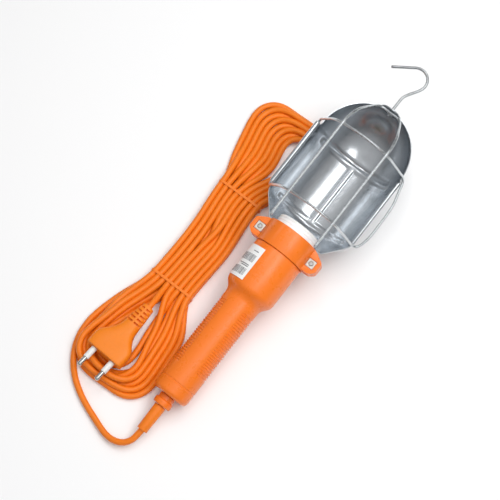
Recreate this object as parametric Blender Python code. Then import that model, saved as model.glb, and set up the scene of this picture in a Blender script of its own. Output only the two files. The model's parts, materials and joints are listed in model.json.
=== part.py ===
"""Corded cage work light: handle, E27 lampholder, sheet reflector, hinged wire guard and swivel hook.

Metres, +Z up.  The lamp lies on its back on the plane z = 0, resting on the reflector and the
grip's end.  Its parts are drawn in the lamp frame: X along the axis from the collar's mouth
towards the hook, Y to the left, Z towards the guard.  The origin of the world is below the middle
of the lamp's own box.  The cord and its plug are drawn in the world frame, where they lie.
"""

import math

import bmesh
import bpy
from mathutils import Euler, Matrix, Vector

GAP = 0.0003                      # clearance between pieces that touch

# Handle, turned about the lamp axis
NECK_BORE_RADIUS = 0.0191
NECK_RADIUS = 0.0202
NECK_FRONT_X = -0.0006
HEAD_FRONT_X = -0.0203
HEAD_RADIUS = 0.0218
HEAD_REAR_X = -0.056
GRIP_FRONT_X = -0.068
GRIP_REAR_X = -0.158
GRIP_RADIUS = 0.0159
GRIP_BORE_RADIUS = 0.0124
HANDLE_END_X = -0.162
HANDLE_END_RADIUS = 0.0125
LABEL_REAR_X = -0.0557
LABEL_FRONT_X = -0.0257
SEAT_X = -0.037                   # shoulder that the lampholder's base sits on
SPIGOT_RADIUS = 0.005
COLLAR_RADIUS = 0.0075
COLLAR_END_X = -0.172
SLEEVE_END_X = -0.196
SLEEVE_ROOT_RADIUS = 0.0049
SLEEVE_TIP_RADIUS = 0.0045

# Clamp collar that holds the lampholder and the reflector's neck
CLAMP_LENGTH = 0.020
CLAMP_RADIUS = 0.0228
CLAMP_FRONT_BORE = 0.0205
CLAMP_REAR_BORE = 0.0215
EAR_REACH = 0.033
EAR_FRONT_HEIGHT = 0.0064
EAR_REAR_HEIGHT = 0.006
BOLT_X = -0.011
BOLT_Y = 0.0258
BOLT_RADIUS = 0.0019
BOLT_HEAD_RADIUS = 0.0035
BOLT_HEAD_HEIGHT = 0.0024
NUT_SIDE = 0.007
NUT_HEIGHT = 0.0025
NUT_SEAT_Z = 0.0032

# Lampholder
SKIRT_RADIUS = 0.0188
SKIRT_BORE = 0.0149
SKIRT_FRONT_X = 0.008
SKIRT_REAR_X = -0.028
BASE_REAR_X = -0.0365
SHELL_RADIUS = 0.0145
SHELL_BORE = 0.0133
TERMINAL_Y = 0.009

# Reflector, pressed from one sheet
SHEET = 0.0007
REFLECTOR_RADIUS = 0.042
REFLECTOR_NECK_RADIUS = 0.0212
REFLECTOR_NECK_REAR_X = -0.014
CONE_START_X = 0.0008
CONE_START_RADIUS = 0.0262
CONE_END_X = 0.023
DOME_X = 0.088
DOME_RADIUS = 0.0405
DOME_LENGTH = 0.0425
LAND_RADIUS = 0.0095
EDGE_Z = -0.0014                  # the sheet's free edges stop just below the axis
HINGE_Y = 0.0424
# Rolled long edges: centre's Y, outer radius, bore, rear end, front end
ROLLS = {
    "left": (HINGE_Y, 0.0022, 0.0014, 0.025, 0.087),
    "right": (-0.0411, 0.00175, 0.0011, 0.0229, 0.0847),
}

# Wire guard, hinged in the reflector's left rolled edge
WIRE_RADIUS = 0.0011
RING_LOW_X = 0.0212
RING_HIGH_X = 0.0897
# Half of a ring's arch, from the hinge side up to the crown, in Y and Z
RING_ARCH = [
    (0.0412, 0.0040), (0.0388, 0.0090), (0.0330, 0.0200), (0.0272, 0.0298),
    (0.0208, 0.0352), (0.0110, 0.0389), (0.0000, 0.0402),
]
LOOP_LEAN = math.radians(5.5)     # the loop leans a little towards the latch side
LOOP_HALF_WIDTH = 0.0213
LOOP_HEIGHT = 0.0379
LOOP_TAIL_X = -0.003

# Hook
HOOK_RADIUS = 0.00125
HOOK_STEM_START_X = 0.124
HOOK_STEM_END_X = 0.142
HOOK_BEND_CENTRE = Vector((0.1626, 0.0009, 0.0))
HOOK_BEND_RADIUS = 0.0102
HOOK_BEND_END = math.radians(33)
HOOK_TAIL = 0.020

# Cord, its hank and its plug, in the world frame
CORD_RADIUS = 0.0026
HANK_HEIGHT = 0.0106
LEAD_JOIN_X = -0.1385
TIE_X = (-0.0748, 0.0207)
TIE_WIDTH = 0.003
TIE_THICKNESS = 0.0008
PLUG_FACE = Vector((-0.1568, 0.0636, 0.0191))
PLUG_YAW = math.radians(-2.2)
PLUG_PITCH = math.radians(4)
PLUG_NECK_END = 0.055
PIN_SPACING = 0.0186
PIN_LENGTH = 0.019
PIN_RADIUS = 0.002
PIN_SLEEVE_LENGTH = 0.010
PIN_SLEEVE_RADIUS = 0.0026

# How the lamp lies: reflector's rear corner and the grip's end both touch z = 0
TILT = math.atan2(REFLECTOR_RADIUS - GRIP_RADIUS, CONE_END_X - GRIP_REAR_X)
AXIS_HEIGHT = REFLECTOR_RADIUS * math.cos(TILT) - CONE_END_X * math.sin(TILT)
LAMP_REAR_X = SLEEVE_END_X * math.cos(TILT) - SLEEVE_TIP_RADIUS * math.sin(TILT)
LAMP_FRONT_X = (HOOK_BEND_CENTRE.x + HOOK_BEND_RADIUS) * math.cos(TILT) + HOOK_RADIUS
LATCH_Y = -0.0492
LAMP_LEFT_Y = HINGE_Y + ROLLS["left"][1]
LAMP_RIGHT_Y = LATCH_Y - WIRE_RADIUS
LAMP_ORIGIN = Vector((
    -(LAMP_REAR_X + LAMP_FRONT_X) / 2,
    -(LAMP_LEFT_Y + LAMP_RIGHT_Y) / 2,
    AXIS_HEIGHT,
))

# The free cord from the strain relief to the hank, and from the hank to the plug
LEAD_ROUTE = [
    (-0.1875, 0.0033, 0.0094),
    (-0.1930, 0.0041, 0.0084),
    (-0.1988, 0.0080, 0.0071),
    (-0.2021, 0.0145, 0.0058),
    (-0.2028, 0.0220, 0.0047),
    (-0.2010, 0.0305, 0.0038),
    (-0.1981, 0.0395, 0.0032),
    (-0.1948, 0.0495, 0.0029),
    (-0.1902, 0.0605, 0.0028),
    (-0.1835, 0.0720, 0.0028),
    (-0.1745, 0.0822, 0.0028),
    (-0.1635, 0.0899, 0.0028),
    (-0.1520, 0.0942, 0.0028),
    (-0.1440, 0.0953, 0.0028),
]
PLUG_LEAD_END = Vector((-0.0785, 0.0640, 0.0079))

# Outline of the tied hank, one side and then back along the other
HANK_OUTLINE = [
    (-0.1715, 0.0500),
    (-0.1700, 0.0350),
    (-0.1655, 0.0255),
    (-0.1570, 0.0214),
    (-0.1440, 0.0210),
    (-0.1290, 0.0219),
    (-0.1150, 0.0242),
    (-0.1010, 0.0312),
    (-0.0880, 0.0386),
    (-0.0748, 0.0406),
    (-0.0450, 0.0404),
    (-0.0150, 0.0418),
    (0.0207, 0.0453),
    (0.0400, 0.0400),
    (0.0600, 0.0335),
    (0.0800, 0.0295),
    (0.0950, 0.0345),
    (0.1070, 0.0460),
    (0.1140, 0.0610),
    (0.1156, 0.0770),
    (0.1130, 0.0910),
    (0.1050, 0.1010),
    (0.0920, 0.1045),
    (0.0780, 0.1022),
    (0.0600, 0.0972),
    (0.0420, 0.0922),
    (0.0207, 0.0883),
    (-0.0150, 0.0834),
    (-0.0500, 0.0815),
    (-0.0748, 0.0822),
    (-0.0950, 0.0851),
    (-0.1126, 0.0916),
    (-0.1280, 0.0966),
]
HANK_FOOT = [
    (-0.1440, 0.0915),
    (-0.1550, 0.0890),
    (-0.1630, 0.0830),
    (-0.1680, 0.0720),
]


# --- helpers -------------------------------------------------------------------------------------

def remove_everything():
    for obj in list(bpy.data.objects):
        bpy.data.objects.remove(obj, do_unlink=True)


def material(name, colour, roughness, metallic=0.0):
    mat = bpy.data.materials.new(name)
    mat.use_nodes = True
    shader = mat.node_tree.nodes["Principled BSDF"]
    shader.inputs["Base Color"].default_value = (*colour, 1.0)
    shader.inputs["Roughness"].default_value = roughness
    shader.inputs["Metallic"].default_value = metallic
    return mat


def empty(name, parent=None, location=(0, 0, 0), rotation=(0, 0, 0)):
    obj = bpy.data.objects.new(name, None)
    bpy.context.collection.objects.link(obj)
    obj.parent = parent
    obj.location = location
    obj.rotation_euler = rotation
    return obj


def place(name, data, mat, parent, location=(0, 0, 0), rotation=(0, 0, 0)):
    """Links an object drawn in the lamp's or the plug's frame, also under a pivot of that frame."""
    obj = bpy.data.objects.new(name, data)
    bpy.context.collection.objects.link(obj)
    obj.parent = parent
    shift = Vector(parent.location) if parent and parent.get("pivot") else Vector((0, 0, 0))
    obj.location = Vector(location) - shift
    obj.rotation_euler = rotation
    obj.data.materials.append(mat)
    return obj


def finish_mesh(bm, name, smooth_angle=40):
    bmesh.ops.remove_doubles(bm, verts=bm.verts, dist=1e-6)
    bmesh.ops.recalc_face_normals(bm, faces=bm.faces)
    mesh = bpy.data.meshes.new(name)
    bm.to_mesh(mesh)
    bm.free()
    mesh.shade_smooth()
    mesh.set_sharp_from_angle(angle=math.radians(smooth_angle))
    return mesh


def turned_mesh(name, profile, segments=24):
    """A body turned about X from (x, radius) points; the outline closes unless it ends on the axis."""
    bm = bmesh.new()
    verts = [bm.verts.new((x, 0.0, radius)) for x, radius in profile]
    edges = [bm.edges.new(pair) for pair in zip(verts, verts[1:])]
    if min(radius for _, radius in profile) > 0:
        edges.append(bm.edges.new((verts[-1], verts[0])))
    bmesh.ops.spin(
        bm, geom=verts + edges, axis=(1, 0, 0), cent=(0, 0, 0),
        angle=2 * math.pi, steps=segments, use_merge=True,
    )
    return finish_mesh(bm, name)


def prism_mesh(name, outline, low, high):
    """A flat outline in X and Y, extruded from z = low to z = high."""
    bm = bmesh.new()
    face = bm.faces.new([bm.verts.new((x, y, low)) for x, y in outline])
    raised = bmesh.ops.extrude_face_region(bm, geom=[face])["geom"]
    top = [item for item in raised if isinstance(item, bmesh.types.BMVert)]
    bmesh.ops.translate(bm, verts=top, vec=(0, 0, high - low))
    return finish_mesh(bm, name)


def box_mesh(name, low, high):
    outline = [(low[0], low[1]), (high[0], low[1]), (high[0], high[1]), (low[0], high[1])]
    return prism_mesh(name, outline, low[2], high[2])


def arc(centre, radius, start, end, steps):
    """Points of an arc in a plane, both ends included; angles in radians."""
    angles = [start + (end - start) * i / steps for i in range(steps + 1)]
    return [(centre[0] + radius * math.cos(a), centre[1] + radius * math.sin(a)) for a in angles]


def smooth_path(points, spacing, closed=False):
    """Points about a spacing apart on a smooth curve through the given ones."""
    points = [Vector(p) for p in points]
    count = len(points)
    spans = count if closed else count - 1
    fine = []
    for i in range(spans):
        if closed:
            before, after = points[i - 1], points[(i + 2) % count]
        else:
            before = points[i - 1] if i else 2 * points[0] - points[1]
            after = points[i + 2] if i + 2 < count else 2 * points[-1] - points[-2]
        start, end = points[i], points[(i + 1) % count]
        steps = max(1, round((end - start).length / spacing))
        for step in range(steps):
            t = step / steps
            fine.append(0.5 * (
                2 * start
                + (end - before) * t
                + (2 * before - 5 * start + 4 * end - after) * t ** 2
                + (3 * start - before - 3 * end + after) * t ** 3
            ))
    if not closed:
        fine.append(points[-1])
    return fine


def wire(name, points, radius, mat, parent, closed=False, sides=2):
    """A round wire or cord along its points, as a bevelled curve with filled ends."""
    curve = bpy.data.curves.new(name, "CURVE")
    curve.dimensions = "3D"
    curve.resolution_u = 1
    curve.bevel_depth = radius
    curve.bevel_resolution = sides
    curve.use_fill_caps = True
    spline = curve.splines.new("POLY")
    spline.points.add(len(points) - 1)
    for target, point in zip(spline.points, points):
        target.co = (*point, 1.0)
    spline.use_cyclic_u = closed
    spline.use_smooth = True
    return place(name, curve, mat, parent)


def helper(name, mesh, location=(0, 0, 0), rotation=(0, 0, 0), parent=None):
    """A hidden body that a Boolean adds or takes away."""
    obj = bpy.data.objects.new(name, mesh)
    bpy.context.collection.objects.link(obj)
    obj.parent = parent
    obj.location = location
    obj.rotation_euler = rotation
    obj.hide_render = True
    obj.display_type = "WIRE"
    return obj


def combine(target, other, operation):
    modifier = target.modifiers.new(other.name, "BOOLEAN")
    modifier.operation = operation
    modifier.object = other
    modifier.solver = "EXACT"


# --- materials -----------------------------------------------------------------------------------

def make_materials():
    return {
        "orange_plastic": material("orange_plastic", (0.90, 0.19, 0.03), 0.35),
        "orange_pvc": material("orange_pvc", (0.88, 0.17, 0.025), 0.45),
        "white_holder": material("white_holder", (0.85, 0.85, 0.83), 0.3),
        "zinc_sheet": material("zinc_sheet", (0.55, 0.58, 0.61), 0.25, 1.0),
        "zinc_wire": material("zinc_wire", (0.65, 0.67, 0.69), 0.3, 1.0),
        "fastener_steel": material("fastener_steel", (0.72, 0.72, 0.70), 0.3, 1.0),
        "brass_contact": material("brass_contact", (0.78, 0.57, 0.22), 0.3, 1.0),
        "brown_core": material("brown_core", (0.16, 0.07, 0.03), 0.5),
        "blue_core": material("blue_core", (0.04, 0.12, 0.42), 0.5),
        "label_paper": material("label_paper", (0.9, 0.9, 0.88), 0.6),
        "pin_metal": material("pin_metal", (0.75, 0.75, 0.74), 0.2, 1.0),
        "pin_sleeve_white": material("pin_sleeve_white", (0.85, 0.85, 0.83), 0.4),
    }


# --- handle --------------------------------------------------------------------------------------

def build_handle(lamp, mats):
    rear_wall_x = HANDLE_END_X + 0.0045
    outer = [
        (NECK_FRONT_X, NECK_RADIUS),
        (HEAD_FRONT_X, NECK_RADIUS),
        (HEAD_FRONT_X, HEAD_RADIUS),
        (HEAD_REAR_X, HEAD_RADIUS),
        (HEAD_REAR_X - 0.004, HEAD_RADIUS - 0.0012),
        (GRIP_FRONT_X + 0.004, GRIP_RADIUS + 0.0012),
        (GRIP_FRONT_X, GRIP_RADIUS),
    ]
    corner = HANDLE_END_X - GRIP_REAR_X
    depth = GRIP_RADIUS - HANDLE_END_RADIUS
    rounding = [
        (GRIP_REAR_X + corner * math.sin(a), HANDLE_END_RADIUS + depth * math.cos(a))
        for a in (math.radians(30 * i) for i in range(4))
    ]
    inner = [
        (HANDLE_END_X, SPIGOT_RADIUS + GAP),
        (rear_wall_x, SPIGOT_RADIUS + GAP),
        (rear_wall_x, GRIP_BORE_RADIUS),
        (GRIP_FRONT_X + 0.002, GRIP_BORE_RADIUS),
        (SEAT_X - 0.014, 0.016),
        (SEAT_X, 0.016),
        (SEAT_X, NECK_BORE_RADIUS),
        (NECK_FRONT_X, NECK_BORE_RADIUS),
    ]
    mesh = turned_mesh("handle_shell", outer + rounding + inner, 32)
    place("handle_shell", mesh, mats["orange_plastic"], lamp)

    spigot = [
        (HANDLE_END_X - GAP, SPIGOT_RADIUS),
        (rear_wall_x + 0.001, SPIGOT_RADIUS),
        (rear_wall_x + 0.001, CORD_RADIUS + GAP),
        (COLLAR_END_X, CORD_RADIUS + GAP),
        (COLLAR_END_X, COLLAR_RADIUS - 0.0006),
        (COLLAR_END_X + 0.0006, COLLAR_RADIUS),
        (HANDLE_END_X - GAP, COLLAR_RADIUS),
    ]
    place("end_collar", turned_mesh("end_collar", spigot), mats["orange_plastic"], lamp)

    sleeve = [
        (COLLAR_END_X - GAP, CORD_RADIUS + GAP),
        (SLEEVE_END_X, CORD_RADIUS + GAP),
        (SLEEVE_END_X, SLEEVE_TIP_RADIUS),
        (COLLAR_END_X - GAP, SLEEVE_ROOT_RADIUS),
    ]
    place("strain_relief", turned_mesh("strain_relief", sleeve), mats["orange_pvc"], lamp)


def build_label(lamp, mats):
    """A paper label round the left of the head, as a thin curved plate."""
    inner, outer = HEAD_RADIUS + GAP, HEAD_RADIUS + GAP + 0.00025
    start, end = math.radians(-12), math.radians(72)
    section = arc((0, 0), outer, start, end, 12) + arc((0, 0), inner, end, start, 12)
    mesh = prism_mesh("label", section, LABEL_REAR_X, LABEL_FRONT_X)
    mesh.transform(Matrix(((0, 0, 1, 0), (1, 0, 0, 0), (0, 1, 0, 0), (0, 0, 0, 1))))
    place("label", mesh, mats["label_paper"], lamp)


# --- clamp collar --------------------------------------------------------------------------------

def half_band_mesh(name, bore, side):
    """Half of the clamp's band; side is +1 for the front (+Z) half and -1 for the rear half."""
    start = math.asin(0.0002 / CLAMP_RADIUS)
    end = math.pi - start
    section = arc((0, 0), CLAMP_RADIUS, start, end, 16) + arc((0, 0), bore, end, start, 16)
    section = [(y, side * z) for y, z in section]
    mesh = prism_mesh(name, section, -CLAMP_LENGTH, 0.0)
    mesh.transform(Matrix(((0, 0, 1, 0), (1, 0, 0, 0), (0, 1, 0, 0), (0, 0, 0, 1))))
    return mesh


def ear_outline(hand, root):
    """Plan of an ear in X and Y; hand is +1 on the left and -1 on the right."""
    points = [
        (-0.0005, root), (-0.001, 0.0245), (-0.006, EAR_REACH), (-0.0155, EAR_REACH),
        (-0.0192, 0.0285), (-0.0192, root),
    ]
    return [(x, hand * y) for x, y in points]


def build_clamp(lamp, mats):
    halves = (
        ("clamp_front_half", CLAMP_FRONT_BORE, 1, EAR_FRONT_HEIGHT, 0.0207),
        ("clamp_rear_half", CLAMP_REAR_BORE, -1, EAR_REAR_HEIGHT, 0.0217),
    )
    for name, bore, side, height, root in halves:
        half = place(name, half_band_mesh(name, bore, side), mats["orange_plastic"], lamp)
        for hand, word in ((1, "left"), (-1, "right")):
            low, high = sorted((side * 0.0002, side * height))
            ear = prism_mesh(f"{name}_{word}_ear", ear_outline(hand, root), low, high)
            combine(half, helper(f"{name}_{word}_ear", ear, parent=lamp), "UNION")
            bolt = turned_mesh(f"{name}_{word}_bore", [
                (-0.012, 0.0), (-0.012, BOLT_RADIUS + GAP), (0.012, BOLT_RADIUS + GAP), (0.012, 0.0),
            ], 12)
            bore_cutter = helper(
                f"{name}_{word}_bore", bolt, (BOLT_X, hand * BOLT_Y, 0), (0, math.pi / 2, 0), lamp,
            )
            combine(half, bore_cutter, "DIFFERENCE")
            if side > 0:
                reach = NUT_SIDE / 2 + GAP
                pocket = box_mesh(
                    f"nut_pocket_{word}",
                    (BOLT_X - reach, hand * BOLT_Y - reach, NUT_SEAT_Z),
                    (BOLT_X + reach, hand * BOLT_Y + reach, 0.012),
                )
                combine(half, helper(f"nut_pocket_{word}", pocket, parent=lamp), "DIFFERENCE")

    tip = NUT_SEAT_Z + GAP + NUT_HEIGHT
    seat = EAR_REAR_HEIGHT + GAP
    screw = [
        (-tip, 0.0), (-tip, BOLT_RADIUS), (seat, BOLT_RADIUS), (seat, BOLT_HEAD_RADIUS),
        (seat + BOLT_HEAD_HEIGHT * 0.6, BOLT_HEAD_RADIUS),
        (seat + BOLT_HEAD_HEIGHT, BOLT_HEAD_RADIUS * 0.7), (seat + BOLT_HEAD_HEIGHT, 0.0),
    ]
    for hand, word in ((1, "left"), (-1, "right")):
        mesh = turned_mesh(f"clamp_screw_{word}", screw, 12)
        place(f"clamp_screw_{word}", mesh, mats["fastener_steel"], lamp,
              (BOLT_X, hand * BOLT_Y, 0), (0, math.pi / 2, 0))
        half_side = NUT_SIDE / 2
        nut = box_mesh(
            f"clamp_nut_{word}", (-half_side, -half_side, 0), (half_side, half_side, NUT_HEIGHT),
        )
        nut = place(f"clamp_nut_{word}", nut, mats["fastener_steel"], lamp,
                    (BOLT_X, hand * BOLT_Y, NUT_SEAT_Z + GAP))
        thread = turned_mesh(f"nut_bore_{word}", [
            (-0.005, 0.0), (-0.005, BOLT_RADIUS + GAP), (0.005, BOLT_RADIUS + GAP), (0.005, 0.0),
        ], 12)
        cutter = helper(
            f"nut_bore_{word}", thread, (BOLT_X, hand * BOLT_Y, 0.0047), (0, math.pi / 2, 0), lamp,
        )
        combine(nut, cutter, "DIFFERENCE")


# --- lampholder and wiring -----------------------------------------------------------------------

def strip_mesh(name, path, width, thickness):
    """A bent metal strip: a path in X and Z, as wide in Y as stated, thickened to one side."""
    left = [(x, z) for x, z in path]
    offset = []
    for i, (x, z) in enumerate(path):
        ahead = Vector(path[min(i + 1, len(path) - 1)])
        behind = Vector(path[max(i - 1, 0)])
        along = (ahead - behind).normalized()
        offset.append((x - along.y * thickness, z + along.x * thickness))
    mesh = prism_mesh(name, left + offset[::-1], -width / 2, width / 2)
    mesh.transform(Matrix.Rotation(math.pi / 2, 4, "X"))
    return mesh


def build_lampholder(lamp, mats):
    skirt = [
        (SKIRT_FRONT_X - 0.001, SKIRT_RADIUS), (SKIRT_REAR_X, SKIRT_RADIUS),
        (SKIRT_REAR_X, SKIRT_BORE), (SKIRT_FRONT_X, SKIRT_BORE), (SKIRT_FRONT_X, SKIRT_RADIUS - 0.001),
    ]
    place("lampholder_skirt", turned_mesh("lampholder_skirt", skirt, 32), mats["white_holder"], lamp)

    shell = [
        (-0.002, SHELL_RADIUS), (-0.0268, SHELL_RADIUS), (-0.0268, SHELL_BORE), (-0.002, SHELL_BORE),
    ]
    place("thread_shell", turned_mesh("thread_shell", shell, 24), mats["brass_contact"], lamp)

    front = SKIRT_REAR_X - GAP
    disc = [(front, 0.0), (front, SKIRT_RADIUS), (BASE_REAR_X, SKIRT_RADIUS), (BASE_REAR_X, 0.0)]
    base = place("lampholder_base", turned_mesh("lampholder_base", disc), mats["white_holder"], lamp)
    for hand, number in ((1, 1), (-1, 2)):
        hole = turned_mesh(f"terminal_hole_{number}", [
            (-0.04, 0.0), (-0.04, 0.0018), (-0.031, 0.0018), (-0.031, 0.0),
        ], 12)
        cutter = helper(f"terminal_hole_{number}", hole, (0, hand * TERMINAL_Y, 0), parent=lamp)
        combine(base, cutter, "DIFFERENCE")
        face = BASE_REAR_X - GAP
        screw = [
            (-0.0315, 0.0), (-0.0315, 0.0015), (face, 0.0015), (face, 0.003),
            (face - 0.0022, 0.003), (face - 0.0022, 0.0),
        ]
        mesh = turned_mesh(f"terminal_screw_{number}", screw, 12)
        place(f"terminal_screw_{number}", mesh, mats["brass_contact"], lamp,
              (0, hand * TERMINAL_Y, 0))

    tongue = [(-0.0279, -0.008), (-0.0279, -0.003), (-0.0242, 0.002), (-0.0236, 0.004)]
    place("centre_contact", strip_mesh("centre_contact", tongue, 0.005, 0.0004),
          mats["brass_contact"], lamp)
    tab = [(-0.0279, 0.0075), (-0.0279, 0.0120), (-0.0215, 0.0122)]
    place("side_contact", strip_mesh("side_contact", tab, 0.004, 0.0004),
          mats["brass_contact"], lamp)


def build_wiring(lamp, mats):
    tail_front = -0.094
    tail = [
        (tail_front, 0.0), (tail_front, CORD_RADIUS), (SLEEVE_END_X, CORD_RADIUS), (SLEEVE_END_X, 0.0),
    ]
    place("cord_tail", turned_mesh("cord_tail", tail, 12), mats["orange_pvc"], lamp)
    for hand, colour in ((1, "brown"), (-1, "blue")):
        route = [
            (BASE_REAR_X - 0.0029, hand * TERMINAL_Y, 0.0),
            (-0.050, hand * 0.0085, 0.0),
            (-0.066, hand * 0.0055, 0.0),
            (-0.082, hand * 0.0025, 0.0),
            (tail_front + GAP, hand * 0.0014, 0.0),
        ]
        wire(f"core_wire_{colour}", smooth_path(route, 0.005), 0.00105, mats[f"{colour}_core"], lamp)

    saddle = box_mesh("cord_clamp_saddle", (-0.112, -0.0083, -0.0082), (-0.104, 0.0083, -0.0029))
    bar = box_mesh("cord_clamp_bar", (-0.111, -0.0083, 0.0029), (-0.105, 0.0083, 0.0052))
    pieces = [
        place("cord_clamp_saddle", saddle, mats["white_holder"], lamp),
        place("cord_clamp_bar", bar, mats["white_holder"], lamp),
    ]
    for hand, number in ((1, 1), (-1, 2)):
        centre = (-0.108, hand * 0.0055, 0)
        hole = turned_mesh(f"clamp_hole_{number}", [
            (-0.012, 0.0), (-0.012, 0.0017), (0.012, 0.0017), (0.012, 0.0),
        ], 12)
        cutter = helper(f"clamp_hole_{number}", hole, centre, (0, -math.pi / 2, 0), lamp)
        for piece in pieces:
            combine(piece, cutter, "DIFFERENCE")
        screw = [
            (-0.008, 0.0), (-0.008, 0.0014), (0.0055, 0.0014), (0.0055, 0.0026),
            (0.0074, 0.0026), (0.0074, 0.0),
        ]
        mesh = turned_mesh(f"cord_clamp_screw_{number}", screw, 12)
        place(f"cord_clamp_screw_{number}", mesh, mats["fastener_steel"], lamp,
              centre, (0, -math.pi / 2, 0))


# --- reflector -----------------------------------------------------------------------------------

def reflector_profile():
    """The sheet's outer side from the neck to the land, as (x, radius)."""
    land_angle = math.asin(LAND_RADIUS / DOME_RADIUS)
    dome = [
        (DOME_X + DOME_LENGTH * reach, DOME_RADIUS * height)
        for reach, height in arc((0, 0), 1.0, math.pi / 2, land_angle, 8)
    ]
    return [
        (REFLECTOR_NECK_REAR_X, REFLECTOR_NECK_RADIUS),
        (0.0003, REFLECTOR_NECK_RADIUS),
        (CONE_START_X, CONE_START_RADIUS),
        (0.0150, 0.0384),
        (0.0190, 0.0409),
        (CONE_END_X, REFLECTOR_RADIUS),
        (0.044, REFLECTOR_RADIUS),
        (0.065, REFLECTOR_RADIUS),
        (DOME_X - 0.002, REFLECTOR_RADIUS),
        *dome,
    ]


def build_reflector(lamp, mats):
    """Half a can with a half dome, its long edges rolled, its top land pierced for the hook."""
    bm = bmesh.new()
    columns = 22
    rows = []
    for x, radius in reflector_profile():
        start = math.pi - math.asin(EDGE_Z / radius)
        end = 2 * math.pi + math.asin(EDGE_Z / radius)
        angles = [start + (end - start) * i / columns for i in range(columns + 1)]
        rows.append([
            bm.verts.new((x, radius * math.cos(a), radius * math.sin(a))) for a in angles
        ])
    for low, high in zip(rows, rows[1:]):
        for i in range(columns):
            bm.faces.new((low[i], low[i + 1], high[i + 1], high[i]))
    bmesh.ops.recalc_face_normals(bm, faces=bm.faces)
    bm.normal_update()
    middle = min(bm.faces, key=lambda f: f.calc_center_median().z)
    if middle.normal.z > 0:
        bmesh.ops.reverse_faces(bm, faces=bm.faces)
    mesh = bpy.data.meshes.new("reflector")
    bm.to_mesh(mesh)
    bm.free()
    reflector = place("reflector", mesh, mats["zinc_sheet"], lamp)
    solid = reflector.modifiers.new("sheet", "SOLIDIFY")
    solid.thickness = SHEET
    solid.offset = -1.0

    land_x = reflector_profile()[-1][0]
    land = turned_mesh("reflector_land", [
        (land_x + 0.0001, LAND_RADIUS), (land_x - 0.0009, LAND_RADIUS),
        (land_x - 0.0009, HOOK_RADIUS + GAP), (land_x + 0.0001, HOOK_RADIUS + GAP),
    ], 20)
    combine(reflector, helper("reflector_land", land, parent=lamp), "UNION")
    for word, (y, radius, bore, rear_x, front_x) in ROLLS.items():
        section = [(front_x, radius), (rear_x, radius), (rear_x, bore), (front_x, bore)]
        roll = turned_mesh(f"rolled_edge_{word}", section, 16)
        combine(reflector, helper(f"rolled_edge_{word}", roll, (0, y, 0), parent=lamp), "UNION")
    return land_x


# --- wire guard ----------------------------------------------------------------------------------

def ring_points(x):
    """A ring of the frame from the hinge side over the crown to the latch side."""
    half = [(x, y, z) for y, z in RING_ARCH]
    other = [(x, -y, z) for y, z in RING_ARCH[-2::-1]]
    return half + other


def build_guard(lamp, mats):
    """Two welded wires that swing about the left rolled edge."""
    pivot = empty("guard_hinge", lamp, (0, HINGE_Y, 0))
    pivot["pivot"] = True

    hinge_side = [(x, HINGE_Y, 0) for x in (0.0245, 0.040, 0.056, 0.072, 0.0870)]
    latch = [
        (0.0887, -0.0420, 0.0008),
        (0.0858, -0.0436, 0.0000),
        (0.0815, -0.0446, 0.0000),
        (0.0760, -0.0461, 0.0000),
        (0.0690, -0.0479, 0.0000),
        (0.0600, -0.0489, 0.0000),
        (0.0490, LATCH_Y, 0.0000),
        (0.0380, LATCH_Y, 0.0000),
        (0.0310, -0.0486, 0.0000),
        (0.0245, -0.0467, 0.0000),
        (0.0215, -0.0441, 0.0006),
    ]
    loop = [
        (RING_LOW_X + 0.0008, HINGE_Y - 0.0003, 0.0012),
        *hinge_side,
        (RING_HIGH_X - 0.0008, HINGE_Y - 0.0003, 0.0012),
        *ring_points(RING_HIGH_X),
        *latch,
        *reversed(ring_points(RING_LOW_X)),
    ]
    frame = smooth_path(loop, 0.0055, closed=True)
    wire("guard_frame_wire", frame, WIRE_RADIUS, mats["zinc_wire"], pivot, closed=True)

    side = [
        (LOOP_TAIL_X, LOOP_HALF_WIDTH, LOOP_HEIGHT),
        (0.040, LOOP_HALF_WIDTH, LOOP_HEIGHT),
        (0.086, LOOP_HALF_WIDTH, LOOP_HEIGHT),
        (0.096, 0.0212, 0.0362),
        (0.106, 0.0194, 0.0312),
        (0.113, 0.0167, 0.0242),
        (0.119, 0.0142, 0.0162),
        (0.1235, 0.0120, 0.0097),
        (0.1260, 0.0092, 0.0068),
        (0.1267, 0.0052, 0.0060),
    ]
    mirrored = [(x, -y, z) for x, y, z in reversed(side)]
    path = smooth_path([*side, (0.1267, 0.0, 0.0059), *mirrored], 0.006)
    lean = Matrix.Rotation(LOOP_LEAN, 4, "X")
    wire("guard_loop_wire", [lean @ p for p in path], WIRE_RADIUS, mats["zinc_wire"], pivot)


# --- hook ----------------------------------------------------------------------------------------

def hook_path():
    """Stem, S-bend to the right, round bend and straight tail, in the lamp's X and Y."""
    bend_start = HOOK_BEND_CENTRE + Vector((0, -HOOK_BEND_RADIUS, 0))
    run = bend_start.x - HOOK_STEM_END_X
    drop = bend_start.y
    points = [Vector((HOOK_STEM_START_X, 0, 0)), Vector((HOOK_STEM_END_X, 0, 0))]
    for i in range(1, 8):
        t = i / 8
        blend = t * t * (3 - 2 * t)
        points.append(Vector((HOOK_STEM_END_X + run * t, drop * blend, 0)))
    bend = arc(HOOK_BEND_CENTRE, HOOK_BEND_RADIUS, -math.pi / 2, HOOK_BEND_END, 14)
    points += [Vector((x, y, 0)) for x, y in bend]
    direction = Vector((-math.sin(HOOK_BEND_END), math.cos(HOOK_BEND_END), 0))
    points.append(points[-1] + direction * HOOK_TAIL)
    return points


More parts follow.
